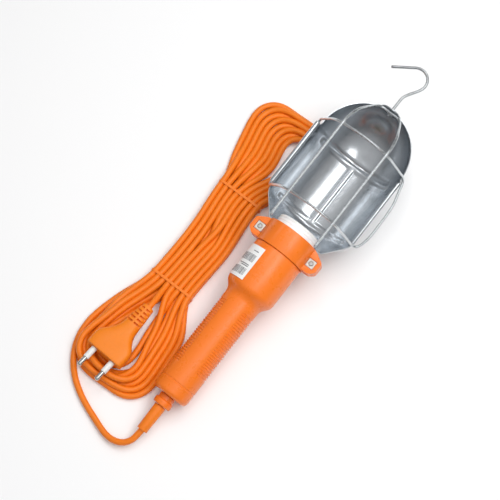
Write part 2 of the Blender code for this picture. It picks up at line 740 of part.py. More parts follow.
def build_hook(lamp, mats, land_x):
    pivot = empty("hook_swivel", lamp, (land_x, 0, 0))
    pivot["pivot"] = True
    wire("hook", hook_path(), HOOK_RADIUS, mats["zinc_wire"], pivot)
    inner_face = land_x - 0.0009
    washer = [
        (inner_face - GAP, 0.004), (inner_face - GAP - 0.0007, 0.004),
        (inner_face - GAP - 0.0007, HOOK_RADIUS + GAP), (inner_face - GAP, HOOK_RADIUS + GAP),
    ]
    place("hook_washer", turned_mesh("hook_washer", washer, 16), mats["zinc_wire"], pivot)
    nut_face = inner_face - 2 * GAP - 0.0007
    push_nut = [
        (nut_face, 0.003), (nut_face - 0.0009, 0.003), (nut_face - 0.0014, 0.0022),
        (nut_face - 0.0014, HOOK_RADIUS + GAP), (nut_face, HOOK_RADIUS + GAP),
    ]
    place("hook_push_nut", turned_mesh("hook_push_nut", push_nut, 16), mats["zinc_wire"], pivot)


# --- cord, ties and plug -------------------------------------------------------------------------

def build_cord(cord, plug, mats):
    exit_point = LAMP_ORIGIN + Vector((
        (SLEEVE_END_X - GAP) * math.cos(TILT), 0, (SLEEVE_END_X - GAP) * math.sin(TILT),
    ))
    join = (LEAD_JOIN_X - GAP, 0.0953, 0.0028)
    lead = smooth_path([exit_point, *LEAD_ROUTE, join], 0.005)
    wire("cord_lead", lead, CORD_RADIUS, mats["orange_pvc"], cord)

    outline = [(p.x, p.y) for p in smooth_path([(x, y, 0) for x, y in HANK_OUTLINE], 0.012)]
    foot = [(p.x, p.y) for p in smooth_path([(x, y, 0) for x, y in HANK_FOOT], 0.012)]
    shoulder = [(LEAD_JOIN_X, 0.0984), (LEAD_JOIN_X, 0.0919)]
    mesh = prism_mesh("cord_hank", outline + shoulder + foot, 0.0, HANK_HEIGHT)
    hank = place("cord_hank", mesh, mats["orange_pvc"], cord)

    plug_turn = Euler((0, PLUG_PITCH, PLUG_YAW)).to_matrix()
    neck_tip = PLUG_FACE + plug_turn @ Vector((PLUG_NECK_END + GAP, 0, 0))
    neck_tangent = neck_tip + plug_turn @ Vector((0.005, 0, 0))
    halfway = (neck_tip + PLUG_LEAD_END) / 2
    route = [neck_tip, neck_tangent, halfway, PLUG_LEAD_END - Vector((0.005, 0, 0)), PLUG_LEAD_END]
    wire("cord_plug_lead", smooth_path(route, 0.004), CORD_RADIUS, mats["orange_pvc"], cord)

    clear = CORD_RADIUS + GAP
    channel = box_mesh(
        "plug_lead_channel",
        (PLUG_LEAD_END.x - 0.028, PLUG_LEAD_END.y - clear - 0.0030, PLUG_LEAD_END.z - clear),
        (PLUG_LEAD_END.x + GAP, PLUG_LEAD_END.y + clear + 0.0012, HANK_HEIGHT + 0.002),
    )
    combine(hank, helper("plug_lead_channel", channel), "DIFFERENCE")

    for number, (x, right, left) in enumerate(zip(TIE_X, (0.0402, 0.0447), (0.0826, 0.0889)), 1):
        inner = HANK_HEIGHT + GAP
        outer = inner + TIE_THICKNESS
        section = [
            (right - TIE_THICKNESS, GAP), (right, GAP), (right, inner), (left, inner), (left, GAP),
            (left + TIE_THICKNESS, GAP), (left + TIE_THICKNESS, outer), (right - TIE_THICKNESS, outer),
        ]
        mesh = prism_mesh(f"cord_tie_{number}", section, x - TIE_WIDTH / 2, x + TIE_WIDTH / 2)
        mesh.transform(Matrix(((0, 0, 1, 0), (1, 0, 0, 0), (0, 1, 0, 0), (0, 0, 0, 1))))
        place(f"cord_tie_{number}", mesh, mats["orange_pvc"], cord)
    build_plug(plug, mats)


def plug_sections():
    """(distance from the face, half width, half thickness) along the flat two-pin plug."""
    return [
        (0.0000, 0.0150, 0.0060),
        (0.0015, 0.0170, 0.0068),
        (0.0110, 0.0172, 0.0068),
        (0.0160, 0.0155, 0.0067),
        (0.0205, 0.0118, 0.0064),
        (0.0260, 0.0086, 0.0060),
        (0.0330, 0.0072, 0.0056),
        (0.0400, 0.0068, 0.0052),
        (PLUG_NECK_END, 0.0052, 0.0044),
    ]


def build_plug(plug, mats):
    """Plug frame: X from the contact face towards the cord, pins along -X."""
    bm = bmesh.new()
    rings = []
    for x, half_width, half_thickness in plug_sections():
        corner = min(half_thickness * 0.7, half_width * 0.7)
        ring = []
        for quarter in range(4):
            sign_y = 1 if quarter in (0, 3) else -1
            sign_z = 1 if quarter in (0, 1) else -1
            centre = (sign_y * (half_width - corner), sign_z * (half_thickness - corner))
            start = quarter * math.pi / 2
            for y, z in arc(centre, corner, start, start + math.pi / 2, 3):
                ring.append(bm.verts.new((x, y, z)))
        rings.append(ring)
    count = len(rings[0])
    for low, high in zip(rings, rings[1:]):
        for i in range(count):
            bm.faces.new((low[i], low[(i + 1) % count], high[(i + 1) % count], high[i]))
    bm.faces.new(rings[0])
    bm.faces.new(rings[-1])
    place("plug_body", finish_mesh(bm, "plug_body"), mats["orange_pvc"], plug)

    for hand, number in ((1, 1), (-1, 2)):
        y = hand * PIN_SPACING / 2
        sleeve_end = -GAP - PIN_SLEEVE_LENGTH
        sleeve = [
            (-GAP, PIN_SLEEVE_RADIUS), (sleeve_end, PIN_SLEEVE_RADIUS - 0.0001),
            (sleeve_end, PIN_RADIUS), (-GAP, PIN_RADIUS),
        ]
        place(f"pin_sleeve_{number}", turned_mesh(f"pin_sleeve_{number}", sleeve, 16),
              mats["pin_sleeve_white"], plug, (0, y, 0))
        core = PIN_RADIUS - GAP
        pin = [
            (-GAP, 0.0), (-GAP, core), (sleeve_end - GAP, core), (sleeve_end - GAP, PIN_RADIUS),
            (-PIN_LENGTH + 0.0016, PIN_RADIUS), (-PIN_LENGTH, 0.0010), (-PIN_LENGTH, 0.0),
        ]
        place(f"plug_pin_{number}", turned_mesh(f"plug_pin_{number}", pin, 16),
              mats["pin_metal"], plug, (0, y, 0))


def main():
    remove_everything()
    mats = make_materials()
    lamp = empty("lamp_pose", location=LAMP_ORIGIN, rotation=(0, -TILT, 0))
    cord = empty("cord_pose")
    plug = empty("plug_pose", location=PLUG_FACE, rotation=(0, PLUG_PITCH, PLUG_YAW))
    build_handle(lamp, mats)
    build_label(lamp, mats)
    build_clamp(lamp, mats)
    build_lampholder(lamp, mats)
    build_wiring(lamp, mats)
    land_x = build_reflector(lamp, mats)
    build_guard(lamp, mats)
    build_hook(lamp, mats, land_x)
    build_cord(cord, plug, mats)


main()
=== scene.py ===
"""Looks of the corded work light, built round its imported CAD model.

Metres, +Z up, in the CAD model's frame.  The lamp's own pieces are drawn in the lamp frame: X along
the axis from the collar's mouth towards the hook, Y towards the guard's hinge, Z towards the guard.
"""

import json
import math

import bmesh
import bpy
import numpy as np
from mathutils import Matrix, Vector


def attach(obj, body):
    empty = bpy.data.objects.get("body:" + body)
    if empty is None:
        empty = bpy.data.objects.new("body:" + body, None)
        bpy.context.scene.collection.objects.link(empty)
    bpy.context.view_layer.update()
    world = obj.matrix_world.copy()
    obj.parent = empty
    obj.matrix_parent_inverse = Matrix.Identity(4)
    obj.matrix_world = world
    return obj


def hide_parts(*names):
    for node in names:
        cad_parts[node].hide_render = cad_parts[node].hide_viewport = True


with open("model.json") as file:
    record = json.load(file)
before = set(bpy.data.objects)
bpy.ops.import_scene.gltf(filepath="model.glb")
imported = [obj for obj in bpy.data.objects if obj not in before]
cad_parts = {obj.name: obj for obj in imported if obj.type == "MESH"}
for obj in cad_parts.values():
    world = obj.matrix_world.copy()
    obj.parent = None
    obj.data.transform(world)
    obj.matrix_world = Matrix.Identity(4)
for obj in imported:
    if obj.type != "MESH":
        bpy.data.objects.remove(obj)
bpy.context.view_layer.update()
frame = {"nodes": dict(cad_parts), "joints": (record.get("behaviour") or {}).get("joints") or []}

JOINTS = {joint["name"]: joint for joint in frame["joints"]}

# Dome of the reflector and its flat land, which the hook's stem passes through
DOME_X = 0.088
DOME_RADIUS = 0.0405
DOME_LENGTH = 0.0425
LAND_RADIUS = 0.0095
LAND_X = DOME_X + DOME_LENGTH * math.cos(math.asin(LAND_RADIUS / DOME_RADIUS))

# The lamp frame: the hook turns about its X axis, at the land
LAMP_X = Vector(JOINTS["hook_swivel"]["axis"]).normalized()
LAMP_Y = Vector((0.0, 1.0, 0.0))
LAMP_Z = LAMP_X.cross(LAMP_Y)
LAMP_ORIGIN = Vector(JOINTS["hook_swivel"]["pos_m"]) - LAMP_X * LAND_X
LAMP = Matrix.Translation(LAMP_ORIGIN) @ Matrix((LAMP_X, LAMP_Y, LAMP_Z)).transposed().to_4x4()

# Cord
CORD_DIAMETER = 0.0052
CORD_RADIUS = CORD_DIAMETER / 2
CORD_STEP = 0.0035                # spacing of the points that settle
HOME_PULL = 0.03                  # how strongly each settling point keeps to its planned place
SETTLE_ROUNDS = 260
LARGEST_PUSH = 0.0008             # furthest that one round pushes a strand aside
SINK = 0.00003                    # how far each round lets the cord sink
LOOSE_LEAD_POINTS = 14            # points at the lead's end that settle with the hank
SLEEVE_END_X = -0.196
LEAD_ROUTE = [
    (-0.1875, 0.0033, 0.0094),
    (-0.1930, 0.0041, 0.0084),
    (-0.1988, 0.0080, 0.0071),
    (-0.2021, 0.0145, 0.0058),
    (-0.2028, 0.0220, 0.0047),
    (-0.2010, 0.0305, 0.0038),
    (-0.1981, 0.0395, 0.0032),
    (-0.1948, 0.0495, 0.0029),
    (-0.1902, 0.0605, 0.0028),
    (-0.1835, 0.0720, 0.0028),
    (-0.1745, 0.0822, 0.0028),
    (-0.1635, 0.0899, 0.0028),
    (-0.1520, 0.0942, 0.0028),
    (-0.1440, 0.0953, 0.0028),
    (-0.1385, 0.0953, 0.0028),
    (-0.1280, 0.0938, 0.0028),
    (-0.1126, 0.0890, 0.0028),
    (-0.0950, 0.0826, 0.0028),
]
PLUG_FACE = Vector((-0.1568, 0.0636, 0.0191))
PLUG_YAW = math.radians(-2.2)
PLUG_PITCH = math.radians(4)
PLUG_NECK_END = 0.0535
PLUG_LEAD_END = Vector((-0.0785, 0.0640, 0.0079))

# The hank: sixteen strands pass both ties, in eight columns and two layers
TIE_X = (-0.0748, 0.0207)
TIE_WIDTH = 0.0022
TIE_THICKNESS = 0.0005
MIDDLE_X = -0.0270
TIE_LEFT_Y = (0.0796, 0.0857)     # middle of the leftmost strand at each tie
COLUMN_STEP = (0.0052, 0.0054)
MIDDLE_LEFT_Y = 0.0800
LAYER_Z = (0.0027, 0.0078)        # low and top layer
# Each strand: column and layer at the near tie, column and layer at the far tie
STRANDS = {
    "lead": (0, 0, 0, 0),
    "left_1": (1, 0, 1, 0),
    "left_2": (2, 0, 2, 0),
    "left_3": (3, 0, 3, 0),
    "left_4": (4, 0, 3, 1),
    "left_5": (2, 1, 2, 1),
    "left_6": (1, 1, 1, 1),
    "left_7": (0, 1, 0, 1),
    "right_a": (4, 1, 4, 0),
    "right_b": (5, 1, 5, 1),
    "right_c": (6, 1, 6, 1),
    "right_d": (7, 1, 7, 1),
    "right_e": (5, 0, 5, 0),
    "right_f": (6, 0, 6, 0),
    "right_g": (7, 0, 7, 0),
    "plug": (3, 1, 4, 1),
}
# The order that the cord runs in.  The folds nest from the outside in, the two layers taking turns;
# a near fold may start and end at different places in the nest.
FAR_FOLDS = [
    ("lead", "right_g", 0), ("left_1", "right_f", 2), ("left_2", "right_e", 4), ("left_3", "right_a", 6),
    ("left_7", "right_d", 1), ("left_6", "right_c", 3), ("left_5", "right_b", 5), ("left_4", "plug", 7),
]
NEAR_FOLDS = [
    ("right_g", "left_1", 0, 0), ("right_f", "left_2", 2, 2), ("right_e", "left_3", 4, 4),
    ("right_a", "left_7", 5, 0), ("right_d", "left_6", 1, 1), ("right_c", "left_5", 3, 3),
    ("right_b", "left_4", 6, 6),
]
# Corners that a fold turns round, each for the outermost and for the innermost fold
FAR_CORNERS = (
    ((0.062, 0.097), (0.058, 0.061)),
    ((0.109, 0.109), (0.094, 0.070)),
    ((0.105, 0.025), (0.094, 0.036)),
    ((0.062, 0.034), (0.056, 0.046)),
)
NEAR_CORNERS = (
    ((-0.108, 0.026), (-0.112, 0.052)),
    ((-0.170, 0.020), (-0.158, 0.046)),
    ((-0.170, 0.093), (-0.158, 0.083)),
    ((-0.108, 0.085), (-0.110, 0.073)),
)
FOLD_BEND = 3.3 * CORD_DIAMETER    # radius that the cord turns a fold's corner with
FOLD_SPREAD_Z = 0.0016             # how far the layers sink towards each other past the ties

# Handle, turned about the lamp axis
NECK_RADIUS = 0.0202
NECK_FRONT_X = -0.0006
HEAD_FRONT_X = -0.0203
HEAD_RADIUS = 0.0218
HEAD_REAR_X = -0.056
GRIP_FRONT_X = -0.068
GRIP_REAR_X = -0.158
GRIP_RADIUS = 0.0159
GRIP_BORE = 0.0124
HANDLE_END_X = -0.162
HANDLE_END_RADIUS = 0.0125
COLLAR_RADIUS = 0.0075
COLLAR_END_X = -0.172
SLEEVE_ROOT_RADIUS = 0.0049
SLEEVE_TIP_RADIUS = 0.0045
GROOVE_DEPTH = 0.00055
GROOVE_PITCH = 0.0023
GROOVE_FRONT_X = -0.0735
GROOVE_REAR_X = -0.1365
GROOVE_ANGLES = (math.radians(30), math.radians(138))  # from the front line, on both sides
LABEL_X = (-0.0557, -0.0257)
LABEL_ANGLES = (math.radians(18), math.radians(102))   # from the front line towards the left
GAP = 0.0003

# Clamp collar
CLAMP_REAR_X = -0.020
CLAMP_RADIUS = 0.0228
CLAMP_BORES = {1: 0.0205, -1: 0.0215}
EAR_REACH = 0.033
EAR_HEIGHTS = {1: 0.0064, -1: 0.006}
BOLT_X = -0.011
BOLT_Y = 0.0258
BOLT_RADIUS = 0.0019
NUT_SIDE = 0.007
NUT_HEIGHT = 0.0025
NUT_SEAT_Z = 0.0032

# Lampholder
SKIRT_RADIUS = 0.0188
SKIRT_BORE = 0.0149
SKIRT_FRONT_X = 0.008
SKIRT_REAR_X = -0.028
SHELL_X = (-0.0268, -0.002)
SHELL_RADIUS = 0.0145
SHELL_WALL = 0.0004
THREAD_PITCH = 0.00363
THREAD_DEPTH = 0.0007

# Reflector
SHEET = 0.0007
REFLECTOR_RADIUS = 0.042
REFLECTOR_NECK_RADIUS = 0.0212
EDGE_Z = -0.0014
BEAD_X = (0.0233, 0.0816)
BEAD_ANGLE = math.radians(5.5)    # the pressed beads' middle, from the bottom towards the left
BEAD_HALF_SPAN = math.radians(52)
BEAD_HALF_WIDTH = 0.0023
BEAD_RAISE = 0.0011
CREASE_ANGLE = math.radians(79.5)
ROLLS = {
    1: (0.0424, 0.0022, 0.0014, 0.025, 0.087),
    -1: (-0.0411, 0.00175, 0.0011, 0.0229, 0.0847),
}

# Wire guard and hook
HINGE_Y = 0.0424
LATCH_Y = -0.0492
WIRE_RADIUS = 0.0011
WIRE_CHAMFER = 0.0004
RING_LOW_X = 0.0212
RING_HIGH_X = 0.0897
RING_ARCH = [
    (0.0412, 0.0040), (0.0388, 0.0090), (0.0330, 0.0200), (0.0272, 0.0298),
    (0.0208, 0.0352), (0.0110, 0.0389), (0.0000, 0.0402),
]
LOOP_LEAN = math.radians(5.5)
LOOP_SIDE = [
    (-0.0030, 0.0213, 0.0379), (0.0400, 0.0213, 0.0379), (0.0860, 0.0213, 0.0379),
    (0.0960, 0.0212, 0.0362), (0.1060, 0.0194, 0.0312), (0.1130, 0.0167, 0.0242),
    (0.1190, 0.0142, 0.0162), (0.1235, 0.0120, 0.0097), (0.1260, 0.0092, 0.0068),
    (0.1267, 0.0052, 0.0060),
]
HOOK_RADIUS = 0.00125
HOOK_STEM_X = (0.124, 0.142)
HOOK_BEND_CENTRE = Vector((0.1626, 0.0009, 0.0))
HOOK_BEND_RADIUS = 0.0102
HOOK_BEND_END = math.radians(33)
HOOK_TAIL = 0.020
HOOK_CHAMFER = 0.0005
LAND_SHEET = 0.0009
WASHER_THICKNESS = 0.0007

# Plug
PIN_SPACING = 0.0186
PIN_LENGTH = 0.019
PIN_RADIUS = 0.002
PIN_SLEEVE_LENGTH = 0.010
PIN_SLEEVE_RADIUS = 0.0026
PLUG_SECTIONS = [
    (0.0000, 0.0155, 0.0060), (0.0015, 0.0175, 0.0068), (0.0110, 0.0176, 0.0068),
    (0.0160, 0.0158, 0.0067), (0.0205, 0.0121, 0.0064), (0.0260, 0.0088, 0.0060),
    (0.0330, 0.0073, 0.0056), (0.0400, 0.0067, 0.0052), (0.0535, 0.0050, 0.0044),
]
SLOT_ROWS = 5
SLOT_START = 0.0345
SLOT_PITCH = 0.0037
SLOT_LENGTH = 0.0017

# Camera: stands behind the lamp's right side and looks down on it
CAMERA_TARGET = Vector((-0.0101, 0.0313, 0.0))
CAMERA_PLACE = Vector((-0.2994, -0.2028, 1.0835))
CAMERA_ROLL = math.radians(-0.57)
LENS = 99.5


# --- helpers -------------------------------------------------------------------------------------

def smooth_path(points, spacing):
    """Points about a spacing apart on a smooth curve through the given ones."""
    points = [Vector(p) for p in points]
    fine = []
    for i in range(len(points) - 1):
        start, end = points[i], points[i + 1]
        before = points[i - 1] if i else 2 * start - end
        after = points[i + 2] if i + 2 < len(points) else 2 * end - start
        steps = max(1, round((end - start).length / spacing))
        for step in range(steps):
            t = step / steps
            fine.append(0.5 * (
                2 * start
                + (end - before) * t
                + (2 * before - 5 * start + 4 * end - after) * t ** 2
                + (3 * start - before - 3 * end + after) * t ** 3
            ))
    fine.append(points[-1])
    return fine


def evenly(points, spacing):
    """The same line with its points the same distance apart."""
    points = np.array([tuple(p) for p in points])
    along = np.concatenate([[0.0], np.cumsum(np.linalg.norm(np.diff(points, axis=0), axis=1))])
    count = max(2, round(along[-1] / spacing) + 1)
    at = np.linspace(0.0, along[-1], count)
    return np.stack([np.interp(at, along, points[:, k]) for k in range(3)], axis=1)


def mix(a, b, share):
    return a + (b - a) * share


def link(name, data):
    obj = bpy.data.objects.new(name, data)
    bpy.context.scene.collection.objects.link(obj)
    return obj


def tube(name, points, radius, resolution, closed=False, chamfer=0.0):
    """A round wire or cord along its points; a chamfer breaks the edges of its ends."""
    points = [Vector(p) for p in points]
    scale = [1.0] * len(points)
    if chamfer:
        first = points[0] + (points[1] - points[0]).normalized() * chamfer
        last = points[-1] + (points[-2] - points[-1]).normalized() * chamfer
        points = [points[0], first, *points[1:-1], last, points[-1]]
        scale = [1 - 0.7 * chamfer / radius, *[1.0] * (len(points) - 2), 1 - 0.7 * chamfer / radius]
    curve = bpy.data.curves.new(name, "CURVE")
    curve.dimensions = "3D"
    curve.resolution_u = 1
    curve.bevel_depth = radius
    curve.bevel_resolution = resolution
    curve.use_fill_caps = True
    spline = curve.splines.new("POLY")
    spline.points.add(len(points) - 1)
    for target, point, size in zip(spline.points, points, scale):
        target.co = (*point, 1.0)
        target.radius = size
    spline.use_cyclic_u = closed
    spline.use_smooth = True
    return link(name, curve)


def grid_mesh(name, rows, wrap=False, caps=(False, False)):
    """A skin over rows of points; wrap joins each row's ends, and caps close the first and last row."""
    bm = bmesh.new()
    verts = [[bm.verts.new(p) for p in row] for row in rows]
    count = len(rows[0])
    for low, high in zip(verts, verts[1:]):
        for i in range(count if wrap else count - 1):
            j = (i + 1) % count
            bm.faces.new((low[i], low[j], high[j], high[i]))
    for closed, row in zip(caps, (verts[0], verts[-1])):
        if closed:
            bm.faces.new(row)
    return finish(bm, name)


def finish(bm, name, sharp=38):
    bmesh.ops.remove_doubles(bm, verts=bm.verts, dist=2e-6)
    bmesh.ops.recalc_face_normals(bm, faces=bm.faces)
    mesh = bpy.data.meshes.new(name)
    bm.to_mesh(mesh)
    bm.free()
    mesh.shade_smooth()
    mesh.set_sharp_from_angle(angle=math.radians(sharp))
    return mesh


def rounded(profile, radius, steps=4):
    """The outline with its corners rounded; each corner's round is cut to fit its neighbours."""
    points = [Vector(p) for p in profile]
    soft = []
    for i, corner in enumerate(points):
        before, after = points[i - 1], points[(i + 1) % len(points)]
        back, ahead = before - corner, after - corner
        if back.length < 1e-6 or ahead.length < 1e-6:
            soft.append(corner)
            continue
        reach = min(radius, 0.4 * back.length, 0.4 * ahead.length)
        start = corner + back.normalized() * reach
        end = corner + ahead.normalized() * reach
        for step in range(steps + 1):
            t = step / steps
            soft.append(start.lerp(corner, t).lerp(corner.lerp(end, t), t))
    return soft


def turned(name, profile, segments=96, radius=0.0003, steps=4):
    """A ring turned about X from a closed outline of (x, radius) points, with rounded corners."""
    outline = rounded(profile, radius, steps)
    rows = []
    for i in range(segments):
        angle = 2 * math.pi * i / segments
        rows.append([(p.x, p.y * math.sin(angle), p.y * math.cos(angle)) for p in outline])
    rows.append(rows[0])
    return grid_mesh(name, rows, wrap=True)


def turned_solid(name, profile, segments=64, radius=0.0003, steps=4):
    """A solid turned about X; the profile starts and ends on the axis."""
    inner = rounded(profile, radius, steps)
    keep = [Vector(profile[0])]
    keep += [p for p in inner if p.y > 1e-6]
    keep.append(Vector(profile[-1]))
    rows = []
    angles = [2 * math.pi * i / segments for i in range(segments)]
    for p in keep:
        radial = max(p.y, 1e-7)
        rows.append([(p.x, radial * math.sin(a), radial * math.cos(a)) for a in angles])
    return grid_mesh(name, rows, wrap=True)


def prism(name, outline, low, high, radius=0.0, steps=4):
    """A flat outline in X and Y, extruded from z = low to z = high."""
    points = rounded(outline, radius, steps) if radius else [Vector(p) for p in outline]
    bm = bmesh.new()
    face = bm.faces.new([bm.verts.new((p[0], p[1], low)) for p in points])
    raised = bmesh.ops.extrude_face_region(bm, geom=[face])["geom"]
    top = [item for item in raised if isinstance(item, bmesh.types.BMVert)]
    bmesh.ops.translate(bm, verts=top, vec=(0, 0, high - low))
    return finish(bm, name)


def box(name, low, high):
    outline = [(low[0], low[1]), (high[0], low[1]), (high[0], high[1]), (low[0], high[1])]
    return prism(name, outline, low[2], high[2])


def joined(name, meshes):
    """One mesh that holds several."""
    bm = bmesh.new()
    for mesh in meshes:
        bm.from_mesh(mesh)
    whole = bpy.data.meshes.new(name)
    bm.to_mesh(whole)
    bm.free()
    whole.shade_smooth()
    whole.set_sharp_from_angle(angle=math.radians(38))
    return whole


def moved(mesh, matrix):
    mesh.transform(matrix)
    return mesh


def carved(name, base, steps, bevel=0.0):
    """The base mesh after a list of (operation, mesh) Booleans and a small bevel of its edges."""
    obj = link(name, base)
    others = []
    for operation, mesh in steps:
        other = link(f"{name}_{operation}", mesh)
        others.append(other)
        modifier = obj.modifiers.new("shape", "BOOLEAN")
        modifier.operation = operation
        modifier.object = other
        modifier.solver = "EXACT"
    if bevel:
        modifier = obj.modifiers.new("edges", "BEVEL")
        modifier.width = bevel
        modifier.segments = 3
        modifier.limit_method = "ANGLE"
        modifier.angle_limit = math.radians(40)
    bpy.context.view_layer.update()
    mesh = bpy.data.meshes.new_from_object(obj.evaluated_get(bpy.context.evaluated_depsgraph_get()))
    for item in (obj, *others):
        bpy.data.objects.remove(item)
    mesh.shade_smooth()
    mesh.set_sharp_from_angle(angle=math.radians(35))
    return mesh


def piece(name, mesh, mat, nodes=(), body="lamp", place=LAMP):
    """A finished piece: in place, on its body, and standing for its CAD nodes."""
    mesh.transform(place)
    obj = link(name, mesh)
    if mat is not None:
        mesh.materials.clear()
        mesh.materials.append(mat)
    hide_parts(*nodes)
    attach(obj, body)
    return obj


def round_piece(name, points, radius, resolution, mat, nodes, body, closed=False, chamfer=0.0):
    """A finished wire or cord: on its body, and standing for its CAD nodes."""
    obj = tube(name, points, radius, resolution, closed, chamfer)
    obj.data.materials.append(mat)
    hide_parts(*nodes)
    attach(obj, body)
    return obj


def smoothstep(low, high, value):
    t = min(1.0, max(0.0, (value - low) / (high - low)))
    return t * t * (3 - 2 * t)


def interpolated(stations, x):
    """The values at x between the rows of a table; each row starts with its own x."""
    places, *columns = zip(*stations)
    return [float(np.interp(x, places, column)) for column in columns]


# --- cord ----------------------------------------------------------------------------------------

def tie_point(strand, tie):
    """Where a strand passes a tie: 0 is the near tie and 1 the far one."""
    column, layer = STRANDS[strand][2 * tie:2 * tie + 2]
    return Vector((TIE_X[tie], TIE_LEFT_Y[tie] - column * COLUMN_STEP[tie], LAYER_Z[layer]))


def middle_point(strand):
    near, far = tie_point(strand, 0), tie_point(strand, 1)
    column = (STRANDS[strand][0] + STRANDS[strand][2]) / 2
    return Vector((MIDDLE_X, MIDDLE_LEFT_Y - column * COLUMN_STEP[0], (near.z + far.z) / 2))


def arced(corners, radius):
    """The open line with an arc at each inner corner, as wide as its neighbours leave room for."""
    line = [corners[0]]
    for before, corner, after in zip(corners, corners[1:], corners[2:]):
        back, ahead = before - corner, after - corner
        half_turn = (math.pi - back.angle(ahead)) / 2
        reach = min(radius * math.tan(half_turn), 0.48 * back.length, 0.48 * ahead.length)
        start = corner + back.normalized() * reach
        end = corner + ahead.normalized() * reach
        bend = reach / math.tan(half_turn)
        centre = corner + (back.normalized() + ahead.normalized()).normalized() * math.hypot(bend, reach)
        steps = max(2, math.ceil(2 * half_turn / math.radians(12)))
        for step in range(steps + 1):
            spoke = (start - centre).normalized().slerp((end - centre).normalized(), step / steps)
            line.append(centre + spoke * bend)
    return [*line, corners[-1]]


def fold(start, end, corner_pairs, places):
    """One fold between two tie points; places are its shares of the way in, where it starts and ends."""
    corners = [start]
    last = len(corner_pairs) - 1
    for i, (outer, inner) in enumerate(corner_pairs):
        share = mix(*places, i / last)
        middle_z = mix(start.z, end.z, (i + 0.5) / (last + 1))
        z = middle_z + math.copysign(FOLD_SPREAD_Z, sum(LAYER_Z) / 2 - middle_z)
        corners.append(Vector((mix(outer[0], inner[0], share), mix(outer[1], inner[1], share), z)))
    return arced([*corners, end], FOLD_BEND)[1:-1]


def hank_route():
    """The cord's middle from the near tie, along all sixteen strands, and back to the near tie."""
    route = []
    far_inmost = len(FAR_FOLDS) - 1
    near_inmost = len(NEAR_FOLDS) - 1
    for i, (left, right, place) in enumerate(FAR_FOLDS):
        share = place / far_inmost
        route += [tie_point(left, 0), middle_point(left), tie_point(left, 1)]
        route += fold(tie_point(left, 1), tie_point(right, 1), FAR_CORNERS, (share, share))
        route += [tie_point(right, 1), middle_point(right), tie_point(right, 0)]
        if i < len(NEAR_FOLDS):
            start, end, start_place, end_place = NEAR_FOLDS[i]
            shares = (start_place / near_inmost, end_place / near_inmost)
            route += fold(tie_point(start, 0), tie_point(end, 0), NEAR_CORNERS, shares)
    return route


def plug_frame():
    turn = Matrix.Rotation(PLUG_YAW, 4, "Z") @ Matrix.Rotation(PLUG_PITCH, 4, "Y")
    return Matrix.Translation(PLUG_FACE) @ turn


def stiffened(points, reach, share):
    """Takes short bends out of the line and keeps its long curves."""
    smooth = points.copy()
    near = points[reach:-3 * reach] + points[3 * reach:-reach]
    far = points[:-4 * reach] + points[4 * reach:]
    smooth[2 * reach:-2 * reach] = (-far + 4 * near + 10 * points[2 * reach:-2 * reach]) / 16
    return mix(points, smooth, share)


def settle(points, held):
    """Lets the strands push each other apart until they lie beside and on each other."""
    points = points.copy()
    home = points.copy()
    index = np.arange(len(points))
    spacing = np.linalg.norm(np.diff(points, axis=0), axis=1).mean()
    at_tie = [np.abs(home[:, 0] - x) < 0.006 for x in TIE_X]
    for turn in range(SETTLE_ROUNDS):
        if turn % 10 == 0:
            apart = np.linalg.norm(points[:, None] - points[None], axis=2)
            close = (apart < 1.8 * CORD_DIAMETER) & (index[None] - index[:, None] > 5)
            first, second = np.nonzero(close)
        for reach in (2, 1):
            points = stiffened(points, reach, 0.5)
        points[1:-1, 2] += 0.12 * ((points[:-2, 2] + points[2:, 2]) / 2 - points[1:-1, 2])
        points[:, 2] -= SINK
        points[:, :2] += HOME_PULL * (home[:, :2] - points[:, :2])
        for _ in range(4):
            step = np.diff(points, axis=0)
            long = np.linalg.norm(step, axis=1)
            fix = step * ((long - spacing) / long * 0.25)[:, None]
            points[:-1] += fix
            points[1:] -= fix
        between = points[second] - points[first]
        distance = np.maximum(np.linalg.norm(between, axis=1), 1e-6)
        overlap = np.maximum(CORD_DIAMETER - distance, 0.0)
        push = between / distance[:, None] * (overlap * 0.3)[:, None]
        move = np.zeros_like(points)
        np.add.at(move, second, push)
        np.add.at(move, first, -push)
        points += np.clip(move, -LARGEST_PUSH, LARGEST_PUSH)
        for mask, left, columns in zip(at_tie, TIE_LEFT_Y, COLUMN_STEP):
            points[mask, 1] = np.clip(points[mask, 1], left - 7 * columns, left)
            points[mask, 2] = np.minimum(points[mask, 2], LAYER_Z[1] + 0.0001)
        points[:, 2] = np.maximum(points[:, 2], CORD_RADIUS + 0.0001)
        points[held] = home[held]
    return points


def cord_centreline():
    exit_point = LAMP @ Vector((SLEEVE_END_X, 0, 0))
    lead = evenly(smooth_path([exit_point, *LEAD_ROUTE], 0.002), CORD_STEP)
    to_plug = plug_frame()
    neck_end = to_plug @ Vector((PLUG_NECK_END - 0.002, 0, 0))
    neck_tangent = to_plug @ Vector((PLUG_NECK_END + 0.004, 0, 0))
    halfway = (neck_end + PLUG_LEAD_END) / 2
    tail = [halfway, neck_tangent, neck_end]
    route = smooth_path([*LEAD_ROUTE[-2:], *hank_route(), *tail], 0.002)
    start = min(range(60), key=lambda i: (route[i] - Vector(LEAD_ROUTE[-1])).length)
    hank = evenly(route[start:], CORD_STEP)
    points = np.concatenate([lead[:-1], hank])
    held = np.zeros(len(points), bool)
    held[:len(lead) - LOOSE_LEAD_POINTS] = True
    held[-3:] = True
    return settle(points, held)


def build_cord(mats):
    """The cord, and the two bands pulled tight round its strands."""
    points = cord_centreline()
    nodes = ("cord_lead", "cord_hank", "cord_plug_lead")
    cord = round_piece("cord", points, CORD_RADIUS, 4, mats["orange_pvc"], nodes, "lamp")
    ties = [build_tie(number, x, points, mats) for number, x in enumerate(TIE_X, 1)]
    return cord, ties


